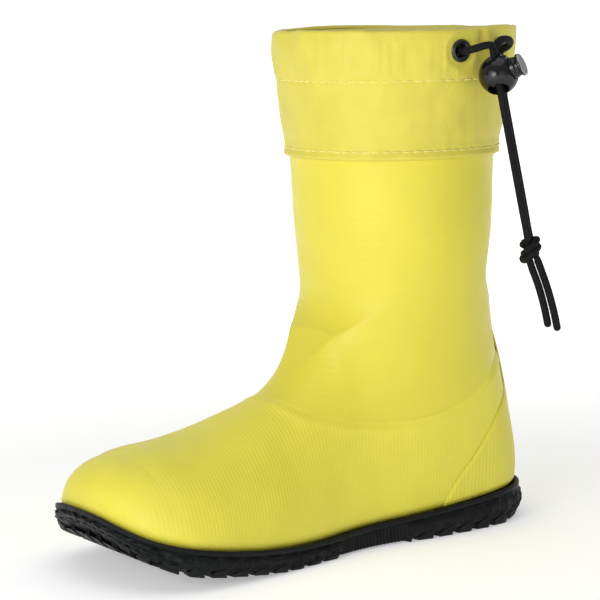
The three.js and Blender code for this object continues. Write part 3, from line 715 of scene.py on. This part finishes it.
def collar_relief(skin, angle, height):
    """How far the collar's face stands off its even thickness."""
    h = np.broadcast_to(height, angle.shape)
    fold = arc_gap(angle, FOLD_ANGLE)
    out = 0.95 * np.clip(1 - ((h - 240.5) / 11.2) ** 2, 0, 1) ** 0.7
    out = out + 0.7 * bump(h, 193.1, 1.3) - 0.3 * bump(h, 200.2, 2.4)
    wrinkle = noise(np.stack([angle * 9, h / 10 + 1.2 * np.sin(angle * 3), h * 0 + 3], -1))
    tunnel = step(230, 233, h)
    out = out + (0.32 + 0.22 * tunnel) * wrinkle + 0.16 * noise(skin / [4.5, 4.5, 7])
    gather_folds = noise(np.stack([angle * 26, h / 30, h * 0 + 9], -1))
    out = out + 0.3 * tunnel * gather_folds * step(254, 247, h)
    out = out - 1.5 * bump(fold, 0.4, 2.2) * step(234, 242, h) + 0.9 * bump(fold, -17, 5) * step(244, 250, h)
    for row in STITCH_ROWS.values():
        out = out - 0.16 * bump(h, row, 1.2)
        ends = np.cos(angle * STITCHES)
        out = out - 0.22 * bump(h, row, 0.8) * np.clip(ends, 0, 1) ** 4
    return out


def make_collar():
    columns = 480
    heights = np.concatenate([np.linspace(HEM + 0.4, 199, 12), np.linspace(199.8, 226, 26),
                              np.linspace(226.8, 232, 12), np.linspace(233, 250.8, 20)])
    outer = [(2.0, h) for h in heights]
    rim = [(0.35 + 1.65 * math.cos(a), 252.3 + 1.7 * math.sin(a))
           for a in np.linspace(0.12, math.pi - 0.1, 9)]
    inner = [(0.4 if h < 249.7 else -0.2, h) for h in (250.6, 249.6, 240, 230, 220, 210, 200, HEM + 0.5)]
    hem = [(1.2 - 0.8 * math.cos(a), HEM + 0.4 - 0.7 * math.sin(a))
           for a in np.linspace(0.4, math.pi - 0.4, 5)]
    skin, out, angle, profile = band_grid(outer + rim + inner + hem, columns)
    height = profile[:, 1:2]
    face = np.zeros((len(profile), 1))
    face[: len(outer)] = 1
    face[len(outer): len(outer) + len(rim), 0] = np.linspace(0.9, 0, len(rim))
    face[-2:, 0] = (0.6, 0.9)
    relief = collar_relief(skin, angle, height) * face
    points = skin + out * (profile[:, :1] + relief)[..., None]
    wave = 0.45 * np.sin(3 * angle + 0.6) + 0.3 * noise(np.stack([angle * 6, angle * 0, angle * 0 + 5], -1))
    points[..., 2] += (wave - 0.6) * step(244, 252, height)
    for centre, axis in EYELETS.values():
        d = points - centre
        high = d @ axis
        away = np.linalg.norm(d - high[..., None] * axis, axis=-1)
        near = step(9.5, 6.2, away) * (np.abs(high) < 8)
        seat = np.where(face[..., 0][:, None] > 0.5, 0.05, -WALL) + 0 * high
        points = points - axis * ((high - seat) * near)[..., None]
    collar = make_object("collar", points.reshape(-1, 3), [loop_faces(len(profile), columns)], leather)
    cutters = []
    for centre, axis in EYELETS.values():
        hole = lathe([[0.001, -5], [3.85, -5], [3.85, 4], [0.001, 4]], 40).reshape(-1, 3)
        hole = settle(hole, centre, np.cross(axis, [0, 0, 1]), axis)
        ends = [ring_faces(4, 40), np.arange(40)[None, ::-1], (np.arange(40) + 120)[None]]
        cutters.append(make_object("hole", hole, ends, leather))
    cut(collar, cutters)
    declare(collar, "boot", ["collar_outer"])


def make_facing():
    outer = [(-1.9, 252.0), (-3.4, 250.6), (-4.8, 248), (-4.8, 243), (-4.8, 238), (-4.4, 233), (-3.8, 228),
             (-3.8, 221), (-3.8, 214), (-3.8, 208), (-3.8, 203.2)]
    profile = outer + [(offset - 1, height) for offset, height in outer[::-1]]
    columns = 240
    skin, out, angle, p = band_grid(profile, columns)
    ripple = 0.12 * noise(np.stack([angle * 14, p[:, 1:2] / 6 + 0 * angle, angle * 0], -1))
    points = skin + out * (p[:, :1] - 0.05 + ripple * (p[:, :1] < -4.6))[..., None]
    tape = make_object("facing_tape", points.reshape(-1, 3), [loop_faces(len(p), columns)], facing_cloth, 50)
    declare(tape, "boot", ["collar_facing"])


def make_stitches():
    for name, row in STITCH_ROWS.items():
        steps = np.linspace(-1, 1, 9)
        angle = (np.arange(STITCHES) + 0.5) / STITCHES * 2 * math.pi
        angle = angle[:, None] + steps * 1.95 / 55
        direction = np.stack([np.cos(angle), np.sin(angle), np.zeros(angle.shape)], -1)
        skin = cast(np.array([[[float(LEG_CENTRE), 0, row]]]), direction)
        lift = 2.12 - 0.6 * np.abs(steps) ** 3
        lines = skin + normals(skin) * lift[:, None]
        lines[..., 2] += 0.16 * steps
        bodies = [sweep(line, 0.38, 10, 0.05, 1.6) for line in lines]
        declare(make_object(f"{name}_stitches", *gather(bodies), yarn, 60), "boot", [f"{name}_stitching"])


def make_eyelets():
    ring = [[5.45, 0.32], [5.6, 0.5], [5.5, 0.8], [5.1, 1.15], [4.5, 1.4], [3.9, 1.35], [3.4, 1.0],
            [3.0, 0.5], [2.9, 0], [2.9, -2.55], [3.45, -2.55], [3.48, 0.1], [3.9, 0.3]]
    sides = 56
    for name, (centre, axis) in EYELETS.items():
        points = settle(lathe(ring, sides).reshape(-1, 3), centre, np.cross(axis, [0, 0, 1]), axis)
        eyelet = make_object(f"eyelet_ring_{name}", points, [loop_faces(len(ring), sides)], lacquer, 50)
        declare(eyelet, "boot", [f"eyelet_{name}"])


make_collar()
make_facing()
make_stitches()
make_eyelets()


# ------------------------------------------------------------------ sole and footbed
SOLE_EDGE = 3.8
SOLE_BASE = 4.6
LUG_PITCH = 12


def plan_half(sign, count):
    """Half of the sole's outline, from the toe's tip to the heel's, and its outward normals."""
    def tip(low, high):
        return float(bisect(lambda x: field(np.array([x, 0, seam(x) + 6])) < 0, low, high, 40))

    toe, heel = tip(150, 248), tip(60, -20)
    a = np.linspace(0, math.pi, 3000)
    s = (toe + heel) / 2 + (toe - heel) / 2 * np.cos(a)
    half = bisect(lambda y: field(np.stack([s, sign * y, seam(s) + 6], 1)) < 0,
                  np.zeros(len(s)), np.full(len(s), 75.0), 40)
    line = np.stack([s, sign * half, 0 * s], 1)
    line[[0, -1], 1] = 0
    line = even(line, line_length(line) / count)
    along = np.gradient(line, axis=0)
    n = unit(np.stack([-along[:, 1], along[:, 0], np.zeros(len(line))], 1)) * -sign
    n[0], n[-1] = (1, 0, 0), (-1, 0, 0)
    return line, n


def plan_loop(count):
    """The sole's whole outline: lateral side back to the heel, then medial side forward again."""
    lateral, n1 = plan_half(1, count)
    medial, n2 = plan_half(-1, count)
    line = np.concatenate([lateral, medial[-2:0:-1]])
    n = np.concatenate([n1, n2[-2:0:-1]])
    for _ in range(6):
        n = unit(n + np.roll(n, 1, 0) + np.roll(n, -1, 0))
    return line, n


def inset(line, n, lift, level):
    """Points at a height above the seam where the field has a level, looked for along the normals."""
    def at(t):
        p = line - n * t[:, None]
        p[:, 2] = seam(p[:, 0]) + lift
        return p

    return at(bisect(lambda t: field(at(t)) > level, np.full(len(line), -8.0), np.full(len(line), 24.0), 30))


def between(spine, ring, share, lift):
    """A ring part of the way from the midline to another, at a height above the seam."""
    p = spine + (ring - spine) * share
    p[:, 2] = seam(p[:, 0]) + lift
    return p


def midline(line, count):
    """A line down the middle that both sides share, one point for each column of a side."""
    t = np.linspace(0, 1, count + 1)
    toe, heel = line[0, 0] - 28, line[count, 0] + 24
    return np.stack([toe + (heel - toe) * (0.5 - 0.5 * np.cos(t * math.pi)), 0 * t, 0 * t], 1)


def close_plate(rings, count, top, bottom):
    """Rings from the top's middle round the edge to the bottom's middle, closed on two midlines."""
    columns = 2 * count
    points = np.concatenate([*rings, top, bottom])
    first = len(rings) * columns
    j = np.arange(columns)
    k = (j + 1) % columns
    m = np.minimum(j, columns - j)
    mk = np.minimum(k, columns - k)
    last = (len(rings) - 1) * columns
    upper = np.stack([first + m, first + mk, k, j], 1)
    lower = np.stack([last + j, last + k, first + count + 1 + mk, first + count + 1 + m], 1)
    return points, [ring_faces(len(rings), columns), upper, lower]


def lug_mask(phase, full=0.62, soft=0.06):
    f = phase - np.floor(phase)
    return step(0, soft, f) * step(full + soft, full, f)


def make_outsole():
    count = 600
    skin_line, n = plan_loop(count)
    edge = skin_line + n * SOLE_EDGE
    middle = midline(skin_line, count)
    columns = 2 * count
    order = np.minimum(np.arange(columns), columns - np.arange(columns))
    spine = middle[order]
    lengths = np.concatenate([[0], np.cumsum(np.linalg.norm(np.diff(edge[: count + 1], axis=0), axis=1))])
    u = lengths[order] + np.where(np.arange(columns) > count, 4.0, 0)
    side = np.where(np.arange(columns) <= count, 1.0, -1.0)
    waist = step(75, 80, edge[:, 0]) * step(122, 117, edge[:, 0])
    toe = step(200, 222, edge[:, 0])
    wobble = noise(np.stack([u / 17, side * 3, 0 * u], 1))

    def ring(t, lift):
        p = edge - n * np.reshape(t, (-1, 1))
        p[:, 2] = seam(np.clip(p[:, 0], -20, FOOT_LENGTH + 4)) + lift
        return p

    inner = inset(skin_line, n, 0.0, 1.45)
    rings = [between(spine, inner, f, -0.3) for f in (0.12, 0.45, 0.8, 1.0)]
    rings += [inset(skin_line, n, lift, 1.45) for lift in (0.5, 1.2, 1.8)]
    rings += [ring(0.85, 2.4), ring(0.35, 2.3), ring(0.08, 2.0), ring(0.0, 1.5), ring(0.0, 0.7),
              ring(0.1, 0.1), ring(0.45, -0.3), ring(0.95, -0.55)]
    thick = seam(edge[:, 0]) - tread(edge[:, 0])
    shares = np.concatenate([np.linspace(0.07, 0.9, 27), [0.94, 0.97, 0.99, 1.0]])
    for share in shares:
        depth = 0.85 + (thick - 0.9 * waist - 0.85) * (share - shares[0]) / (1 - shares[0])
        lean = 5.6 * np.sin(share * math.pi / 2) + 1.1 * math.sin(share * 9)
        phase = (u + lean + 2.0 * wobble) / LUG_PITCH
        f = phase - np.floor(phase)
        scale = f**0.6 * step(1.0, 0.84, f)
        minor = 0.5 + 0.5 * np.sin(2 * math.pi * (u * 0.9 + lean * 2.2) / 5.2 + 2 * wobble)
        rise = step(0.04, 0.26, share) * (0.5 + 0.5 * step(1.0, 0.6, share))
        out = -0.8 + 2.1 * rise * scale * (1 - 0.5 * toe) + 0.4 * rise * minor
        out = out * (1 - waist) + waist * (-0.9 + 0.4 * np.cos(u / 2.1 * 2 * math.pi))
        out = out + toe * (0.75 * bump(share, 0.4, 0.08) - 0.5 * bump(share, 0.53, 0.05))
        rough = noise(np.stack([u / 2.6, np.full(columns, share * 4.5), side * 5], 1))
        out = out + (0.28 + 0.25 * toe) * rough * (1 - waist)
        mask = lug_mask(phase + 0.02, 0.7)
        mask = mask + (1 - mask) * waist
        notch = (1 - mask) * step(0.55, 0.86, share)
        low = np.maximum(SOLE_BASE + 1.2, 0.74 * thick)
        sunk = np.where(depth > low, low + (depth - low) * mask, depth)
        round_off = 0.7 * step(0.93, 1.0, share) + 0.5 * step(0.7, 1.0, share)
        nose = 4.2 * step(226, 240, edge[:, 0]) * share**1.6
        p = ring(-out + 2.2 * notch + round_off + nose, -sunk)
        bevel = 4 * np.clip(1 - p[:, 0] / 20, 0, 1.2) ** 3
        p[:, 2] += bevel * step(SOLE_BASE, thick, sunk)
        rings.append(p)
    last_phase = phase
    for fixed in (2.4, 3.4, 4.6, 5.8, 7.0, 8.0, 8.8, 9.4, 10.2, 11.0):
        mask = lug_mask(last_phase + 0.02 + 0.012 * fixed, 0.66)
        mask = mask * step(9.6, 8.6, fixed) + 0 * u
        mask = mask + (1 - mask) * waist
        rings.append(bottom_ring(ring(np.full(columns, fixed + 1.2), 0), mask, waist))
    start = ring(np.full(columns, 12.4), 0)
    for f in np.linspace(0, 1, 34)[:-1] ** 0.9:
        p = start + (spine - start) * f
        bar = (p[:, 0] + 9 * np.abs(p[:, 1]) / 75 + 10) / LUG_PITCH
        mask = lug_mask(bar, 0.58, 0.07)
        mask = mask + (1 - mask) * waist
        rings.append(bottom_ring(p, mask, waist))
    top = middle.copy()
    top[:, 2] = seam(top[:, 0]) - 0.3
    bar = (middle[:, 0] + 10) / LUG_PITCH
    flat = step(75, 80, middle[:, 0]) * step(122, 117, middle[:, 0])
    mask = lug_mask(bar, 0.58, 0.07)
    bottom = bottom_ring(middle.copy(), mask + (1 - mask) * flat, flat)
    points, faces = close_plate(rings, count, top, bottom)
    points[:, 2] = np.maximum(points[:, 2], GROUND)
    declare(make_object("outsole_tread", points, faces, sole_rubber, 48), "boot", ["outsole"])


def bottom_ring(p, mask, waist):
    x = np.clip(p[:, 0], -20, FOOT_LENGTH + 4)
    high = seam(x) - SOLE_BASE
    low = tread(x) + 0.9 * waist + 4 * np.clip(1 - x / 20, 0, 1.2) ** 3
    p[:, 2] = high + (np.minimum(low, high) - high) * mask
    return p


def make_footbed():
    count = 220
    line, n = plan_loop(count)
    middle = midline(line, count)
    order = np.minimum(np.arange(2 * count), 2 * count - np.arange(2 * count))
    spine = middle[order]
    low = [inset(line, n, lift, -4.25) for lift in (5.75, 6.4, 8.0, 9.2)]
    rings = []
    for f in (0.1, 0.35, 0.6, 0.8, 0.92):
        p = spine + (low[3] - spine) * f
        p[:, 2] = seam(p[:, 0]) + 9.65 - 0.25 * f**6 + 0.05 * noise(p / 6)
        rings.append(p)
    rings += [low[3], low[2], low[1], low[0]]
    rings += [between(spine, low[0], f, 5.75) for f in (0.7, 0.2)]
    top, bottom = middle.copy(), middle.copy()
    top[:, 2] = seam(top[:, 0]) + 9.65
    bottom[:, 2] = seam(bottom[:, 0]) + 5.75
    points, faces = close_plate(rings, count, top, bottom)
    declare(make_object("footbed_cushion", points, faces, footbed_cloth), "boot", ["footbed"])


make_outsole()
make_footbed()


# ------------------------------------------------------------------ drawcord
LOCK = np.array([42.3, 68.7, 231.4])
DOWN = unit([-0.145, 0.097, -0.985])
PAIR = unit(np.array([0.808, 0.591, 0]) + 0.06 * DOWN)
ACROSS = unit(np.cross(DOWN, PAIR))
KNOT = LOCK + DOWN * 85.5
TAIL_SIDE = unit([-0.831, 0.557, 0])
TAIL_DOWN = unit([-0.222, 0.148, -0.964])
FRONT_ARCH = [[55.7, 63.1, 243.3], [53, 66.8, 244.5], [49.7, 68.8, 245.5], [47, 69.2, 245.3]]
REAR_ARCH = [[29.1, 59.4, 244.4], [31, 63.4, 246.6], [35.4, 66, 247.9], [40, 67, 247.4]]


def along_pair(side, distance):
    return LOCK + PAIR * side * 2 + DOWN * distance


def cord_line(name, side, arch, tail_side, tail_length):
    """One whole free cord: eyelet, arch, lock, knot and tail."""
    centre, out = EYELETS[name]
    points = [centre + out * 2.5, *[np.array(p, float) for p in arch]]
    points += [along_pair(side, d) for d in (-12.5, -9.8, 5, 20, 35, 50, 65, 78.9)]
    points.append(KNOT + ACROSS * side * 1.45)
    root = KNOT + TAIL_SIDE * tail_side * 2 + TAIL_DOWN * 6.9
    for t in (0, 0.35, 0.7, 1):
        points.append(root + TAIL_DOWN * t * tail_length + TAIL_SIDE * math.sin(t * math.pi) * 0.8)
    return catmull(points, 0.36)


def make_cord(name, side, arch, tail_side, tail_length):
    line = cord_line(name, side, arch, tail_side, tail_length)
    near = np.linalg.norm(line - KNOT, axis=1)
    radius = 1.84 - 0.42 * step(6.5, 3.0, near)
    points, faces = sweep(line, radius, 32, 0.24, 8.5)
    o = make_object(f"drawcord_{name}", points, faces, braid, 70)
    declare(o, "cord_tails", [f"drawcord_{name}_strand", f"drawcord_{name}_tail"])
    return o, line


def make_knot():
    right = np.array([-0.8294, 0.5583, -0.0189])
    e1 = unit(right - DOWN * (right @ DOWN))
    e2 = np.cross(DOWN, e1)
    t = np.linspace(0, 1, 260)[:, None]
    angle = 2 * math.pi * (2.15 * t - 0.2)
    wide = 3.75 - 1.3 * step(0.08, 0, t) - 1.3 * step(0.92, 1, t)
    deep = 3.35 - 1.2 * step(0.08, 0, t) - 1.2 * step(0.92, 1, t)
    line = KNOT + e1 * wide * np.cos(angle) + e2 * deep * np.sin(angle) \
        + DOWN * (3.55 * (t * 2.15 - 1.07) * 0.95 - 1.9 * np.cos(angle))
    wraps = sweep(even(line, 0.35), 1.62, 24, 0.2, 7)
    nub = [KNOT - e1 * 2.2 + DOWN * 3.6 - e2 * 2.2, KNOT - e1 * 4.2 + DOWN * 4.6 - e2 * 2.6,
           KNOT - e1 * 4.9 + DOWN * 3.2 - e2 * 2.2, KNOT - e1 * 3.4 + DOWN * 1.6 - e2 * 2.0]
    loop = sweep(catmull(nub, 0.35), 1.3, 20, 0.16, 7)
    bulge_line = catmull([KNOT - e1 * 1.8 - DOWN * 2.2 - e2 * 1.5, KNOT - e1 * 3.5 - DOWN * 3.4 - e2 * 1.0,
                          KNOT - e1 * 2.6 - DOWN * 4.8 + e2 * 0.4], 0.35)
    bulge = sweep(bulge_line, 1.5, 20, 0.16, 7)
    o = make_object("drawcord_knot_wraps", *gather([wraps, loop, bulge]), braid, 70)
    return declare(o, "cord_tails", ["drawcord_knot"])


def make_tunnel_cord():
    front, rear = EYELETS["front"], EYELETS["rear"]
    start = math.atan2(front[0][1], front[0][0] - LEG_CENTRE)
    end = math.atan2(rear[0][1], rear[0][0] - LEG_CENTRE) - 2 * math.pi
    angle = np.linspace(start - 0.07, end + 0.07, 90)
    direction = np.stack([np.cos(angle), np.sin(angle), 0 * angle], 1)
    skin = cast(np.array([[float(LEG_CENTRE), 0, 243]]), direction)
    ring = skin - normals(skin) * 2.6
    lead = [centre + axis * reach for centre, axis in (front, rear) for reach in (0.35, -1.2, -3.2)]
    line = catmull([*lead[:3], *ring[::3], *lead[:2:-1]], 1.2)
    points, faces = sweep(line, 1.8, 20, 0.2, 8.5)
    declare(make_object("drawcord_in_tunnel", points, faces, braid, 70), "boot", ["drawcord_tunnel"])


# ------------------------------------------------------------------ cord lock
ELEVATION = math.radians(23.5)
PLUNGER_AXIS = unit([-0.591 * math.cos(ELEVATION), 0.808 * math.cos(ELEVATION), math.sin(ELEVATION)])
TILT = math.radians(14)
PASSAGE = np.array([0, math.cos(TILT), -math.sin(TILT)])


def in_lock(points):
    return settle(np.asarray(points, float), LOCK, PAIR, PLUNGER_AXIS)


def turned_body(name, grid, first_centre, last_centre):
    """A closed body from lathe rings and the heights of its two centres, in the lock's own frame."""
    count, sides = grid.shape[:2]
    points = np.concatenate([grid.reshape(-1, 3), [[0, 0, first_centre], [0, 0, last_centre]]])
    j = np.arange(sides)
    k = np.roll(j, -1)
    first = count * sides
    last = (count - 1) * sides
    caps = [np.stack([k, j, np.full(sides, first)], 1),
            np.stack([last + j, last + k, np.full(sides, first + 1)], 1)]
    return make_object(name, in_lock(points), [ring_faces(count, sides), *caps], plastic, 34)


def prism(outline, low, high, axis, x, grow=0.0):
    """An extruded outline in the lock's frame, along an axis; grow widens its far end."""
    outline = np.asarray(outline, float)
    x, axis = unit(x), unit(axis)
    y = np.cross(axis, x)
    rings = []
    for at, factor in ((low, 1.0), (high, 1.0 + grow)):
        rings.append(outline[:, :1] * factor * x + outline[:, 1:] * factor * y + axis * at)
    count = len(outline)
    faces = [ring_faces(2, count), np.arange(count)[None, ::-1], (np.arange(count) + count)[None]]
    return make_object("cut", in_lock(np.concatenate(rings)), faces, plastic, 30)


def stadium(width, height, stretch=0.0, count=14):
    """A slot outline; stretch moves its upper half up."""
    r = height / 2
    flat = width / 2 - r
    out = []
    for sign, lift, a0 in ((1, 0, -90), (1, stretch, 0), (-1, stretch, 90), (-1, 0, 180)):
        for a in np.radians(np.linspace(a0, a0 + 90, count)):
            out.append((sign * flat + r * math.cos(a), lift + r * math.sin(a)))
    out = np.array(out)
    keep = np.linalg.norm(out - np.roll(out, 1, 0), axis=1) > 1e-6
    return out[keep]


def circle(radius, count=48):
    a = np.arange(count) / count * 2 * math.pi
    return np.stack([radius * np.cos(a), radius * np.sin(a)], 1)


def make_lock_body():
    arc = np.radians(np.linspace(-88, 46.5, 60))
    profile = [[9.6 * math.cos(a), 9.6 * math.sin(a)] for a in arc]
    profile += [[6.45, 7.1], [6.2, 7.22], [5.8, 7.22], [5.58, 7.1], [5.5, 6.85], [5.5, 0], [5.5, -7.4],
                [2.4, -7.4], [2.4, -8.9], [0.4, -8.9]]
    body = turned_body("lock_ball", lathe(profile, 112), profile[0][1], profile[-1][1])
    tilt = math.radians(38)
    out = np.array([math.cos(TILT) * math.sin(tilt), math.cos(TILT) * math.cos(tilt), -math.sin(TILT)])
    passage = prism(stadium(8.3, 4.5), -20, 20, PASSAGE, [1, 0, 0])
    mouth = prism(stadium(8.3, 4.5), 6.8, 10.6, -PASSAGE, [-1, 0, 0], grow=0.42)
    recess = prism(circle(4.4), 3.95, 10.45, out, [0, 0, 1], grow=0.227)
    chamfer = prism(circle(4.3), 7.3, 10.3, out, [0, 0, 1], grow=0.62)
    angle = np.linspace(0, 2 * math.pi, 97)[:-1]
    offset, groove = -3.3, 0.2
    radius = math.sqrt(9.62**2 - offset**2)
    ring = np.stack([radius * np.cos(angle), np.full(96, offset), radius * np.sin(angle)], 1)
    out_from_axis = unit(ring - [0, offset, 0])
    tube = np.stack([ring + out_from_axis * groove * math.cos(f) + [0, groove * math.sin(f), 0]
                     for f in np.arange(8) / 8 * 2 * math.pi], 1).reshape(-1, 3)
    seam_cut = make_object("cut", in_lock(tube), [loop_faces(96, 8)], plastic)
    cut(body, [seam_cut, passage, mouth, recess, chamfer])
    declare(body, "lock", ["cord_lock_body"])
    return body


def make_plunger():
    face = [[r, 12.9] for r in np.linspace(0.2, 4.75, 34)]
    profile = face + [[4.95, 12.86], [5.2, 12.78], [5.42, 12.6], [5.55, 12.35], [5.6, 12.05], [5.6, 11.6],
                      [5.5, 11.3], [5.3, 11.12], [4.9, 11.05], [4.75, 10.9], [4.75, 9.6], [4.9, 9.3],
                      [5.2, 9.1], [5.2, 4], [5.2, -4.2], [5.0, -4.4], [0.3, -4.4]]
    grid = lathe(profile, 144)
    ridge = 0.5 + 0.5 * np.cos(grid[..., 0] * 2 * math.pi / 1.15)
    inside = (np.arange(len(profile)) < 34)[:, None] * step(4.75, 4.4, np.hypot(grid[..., 0], grid[..., 1]))
    grid[..., 2] -= 0.28 * ridge * inside
    o = turned_body("lock_button", grid, 12.62, -4.4)
    slot = prism(stadium(8.3, 4.5, 2.8), -20, 20, -PASSAGE, [1, 0, 0])
    cut(o, [slot])
    o.data.materials.append(button_face_highlight)
    axis = Vector(PLUNGER_AXIS)
    top = Vector(metres([LOCK])[0]) + axis * 0.0124
    # The end face, which points up toward the lights, gets the mid grey of the painted highlight.
    for polygon in o.data.polygons:
        if (polygon.center - top).dot(axis) > 0:
            polygon.material_index = 1
    declare(o, "plunger", ["cord_lock_plunger"])
    return o


knot = make_knot()
ball = make_lock_body()
button = make_plunger()
for cord_name, pair_side, arch, tail, tail_length in (
    ("front", 1, FRONT_ARCH, -1, 30), ("rear", -1, REAR_ARCH, 1, 32),
):
    cord_object, route = make_cord(cord_name, pair_side, arch, tail, tail_length)
make_tunnel_cord()

# ------------------------------------------------------------------ parts kept from the CAD
for node, finish_material in (("insole_board", board), ("washer_front", lacquer), ("washer_rear", lacquer),
                              ("cord_lock_spring", wire)):
    kept = bpy.data.objects[node]
    kept.data.materials.clear()
    kept.data.materials.append(finish_material)


# ------------------------------------------------------------------ floor and light
def make_floor():
    bpy.ops.mesh.primitive_plane_add(size=16, location=(0, 0, 0))
    floor = bpy.context.object
    floor.name = "floor"
    m = bpy.data.materials.new("floor")
    m.use_nodes = True
    shader = m.node_tree.nodes["Principled BSDF"]
    shader.inputs["Base Color"].default_value = (0.9, 0.9, 0.9, 1)
    shader.inputs["Emission Color"].default_value = (1, 1, 1, 1)
    nodes, links = m.node_tree.nodes, m.node_tree.links
    place = nodes.new("ShaderNodeTexCoord")
    far = nodes.new("ShaderNodeVectorMath")
    far.operation = "LENGTH"
    links.new(place.outputs["Object"], far.inputs[0])
    glow = map_range(m.node_tree, far.outputs["Value"], 0.25, 1.1, 0.36, 1.0)
    links.new(glow, shader.inputs["Emission Strength"])
    shader.inputs["Roughness"].default_value = 0.9
    shader.inputs["Specular IOR Level"].default_value = 0.1
    floor.data.materials.append(m)


def area_light(name, location, target, size, power):
    data = bpy.data.lights.new(name, "AREA")
    data.shape = "RECTANGLE"
    data.size, data.size_y = size
    data.energy = power
    o = bpy.data.objects.new(name, data)
    scene.collection.objects.link(o)
    o.location = location
    o.rotation_mode = "QUATERNION"
    o.rotation_quaternion = (Vector(target) - Vector(location)).to_track_quat("-Z", "Y")


def make_world():
    world = bpy.data.worlds.new("studio")
    world.use_nodes = True
    nodes, links = world.node_tree.nodes, world.node_tree.links
    back = nodes["Background"]
    place = nodes.new("ShaderNodeTexCoord")
    dot = nodes.new("ShaderNodeVectorMath")
    dot.operation = "DOT_PRODUCT"
    dot.inputs[1].default_value = (-0.5531, -0.8254, 0.1)
    links.new(place.outputs["Generated"], dot.inputs[0])
    strength = map_range(world.node_tree, dot.outputs["Value"], 0.7, 0.92, 0.36, 1.05)
    links.new(strength, back.inputs["Strength"])
    back.inputs["Color"].default_value = (1, 1, 1, 1)
    scene.world = world


make_floor()
make_world()
area_light("key", (1.45, 0.35, 0.45), (0.0, 0.0, 0.1), (0.9, 0.9), 3.7)
area_light("toe", (0.75, 0.45, 0.3), (0.07, 0.0, 0.03), (0.4, 0.3), 2.3)
area_light("front", (0.45, 1.4, 0.3), (0.0, 0.0, 0.12), (0.8, 0.8), 1.4)
area_light("top", (0.1, 0.1, 1.35), (0.0, 0.0, 0.05), (1.1, 1.1), 3.4)
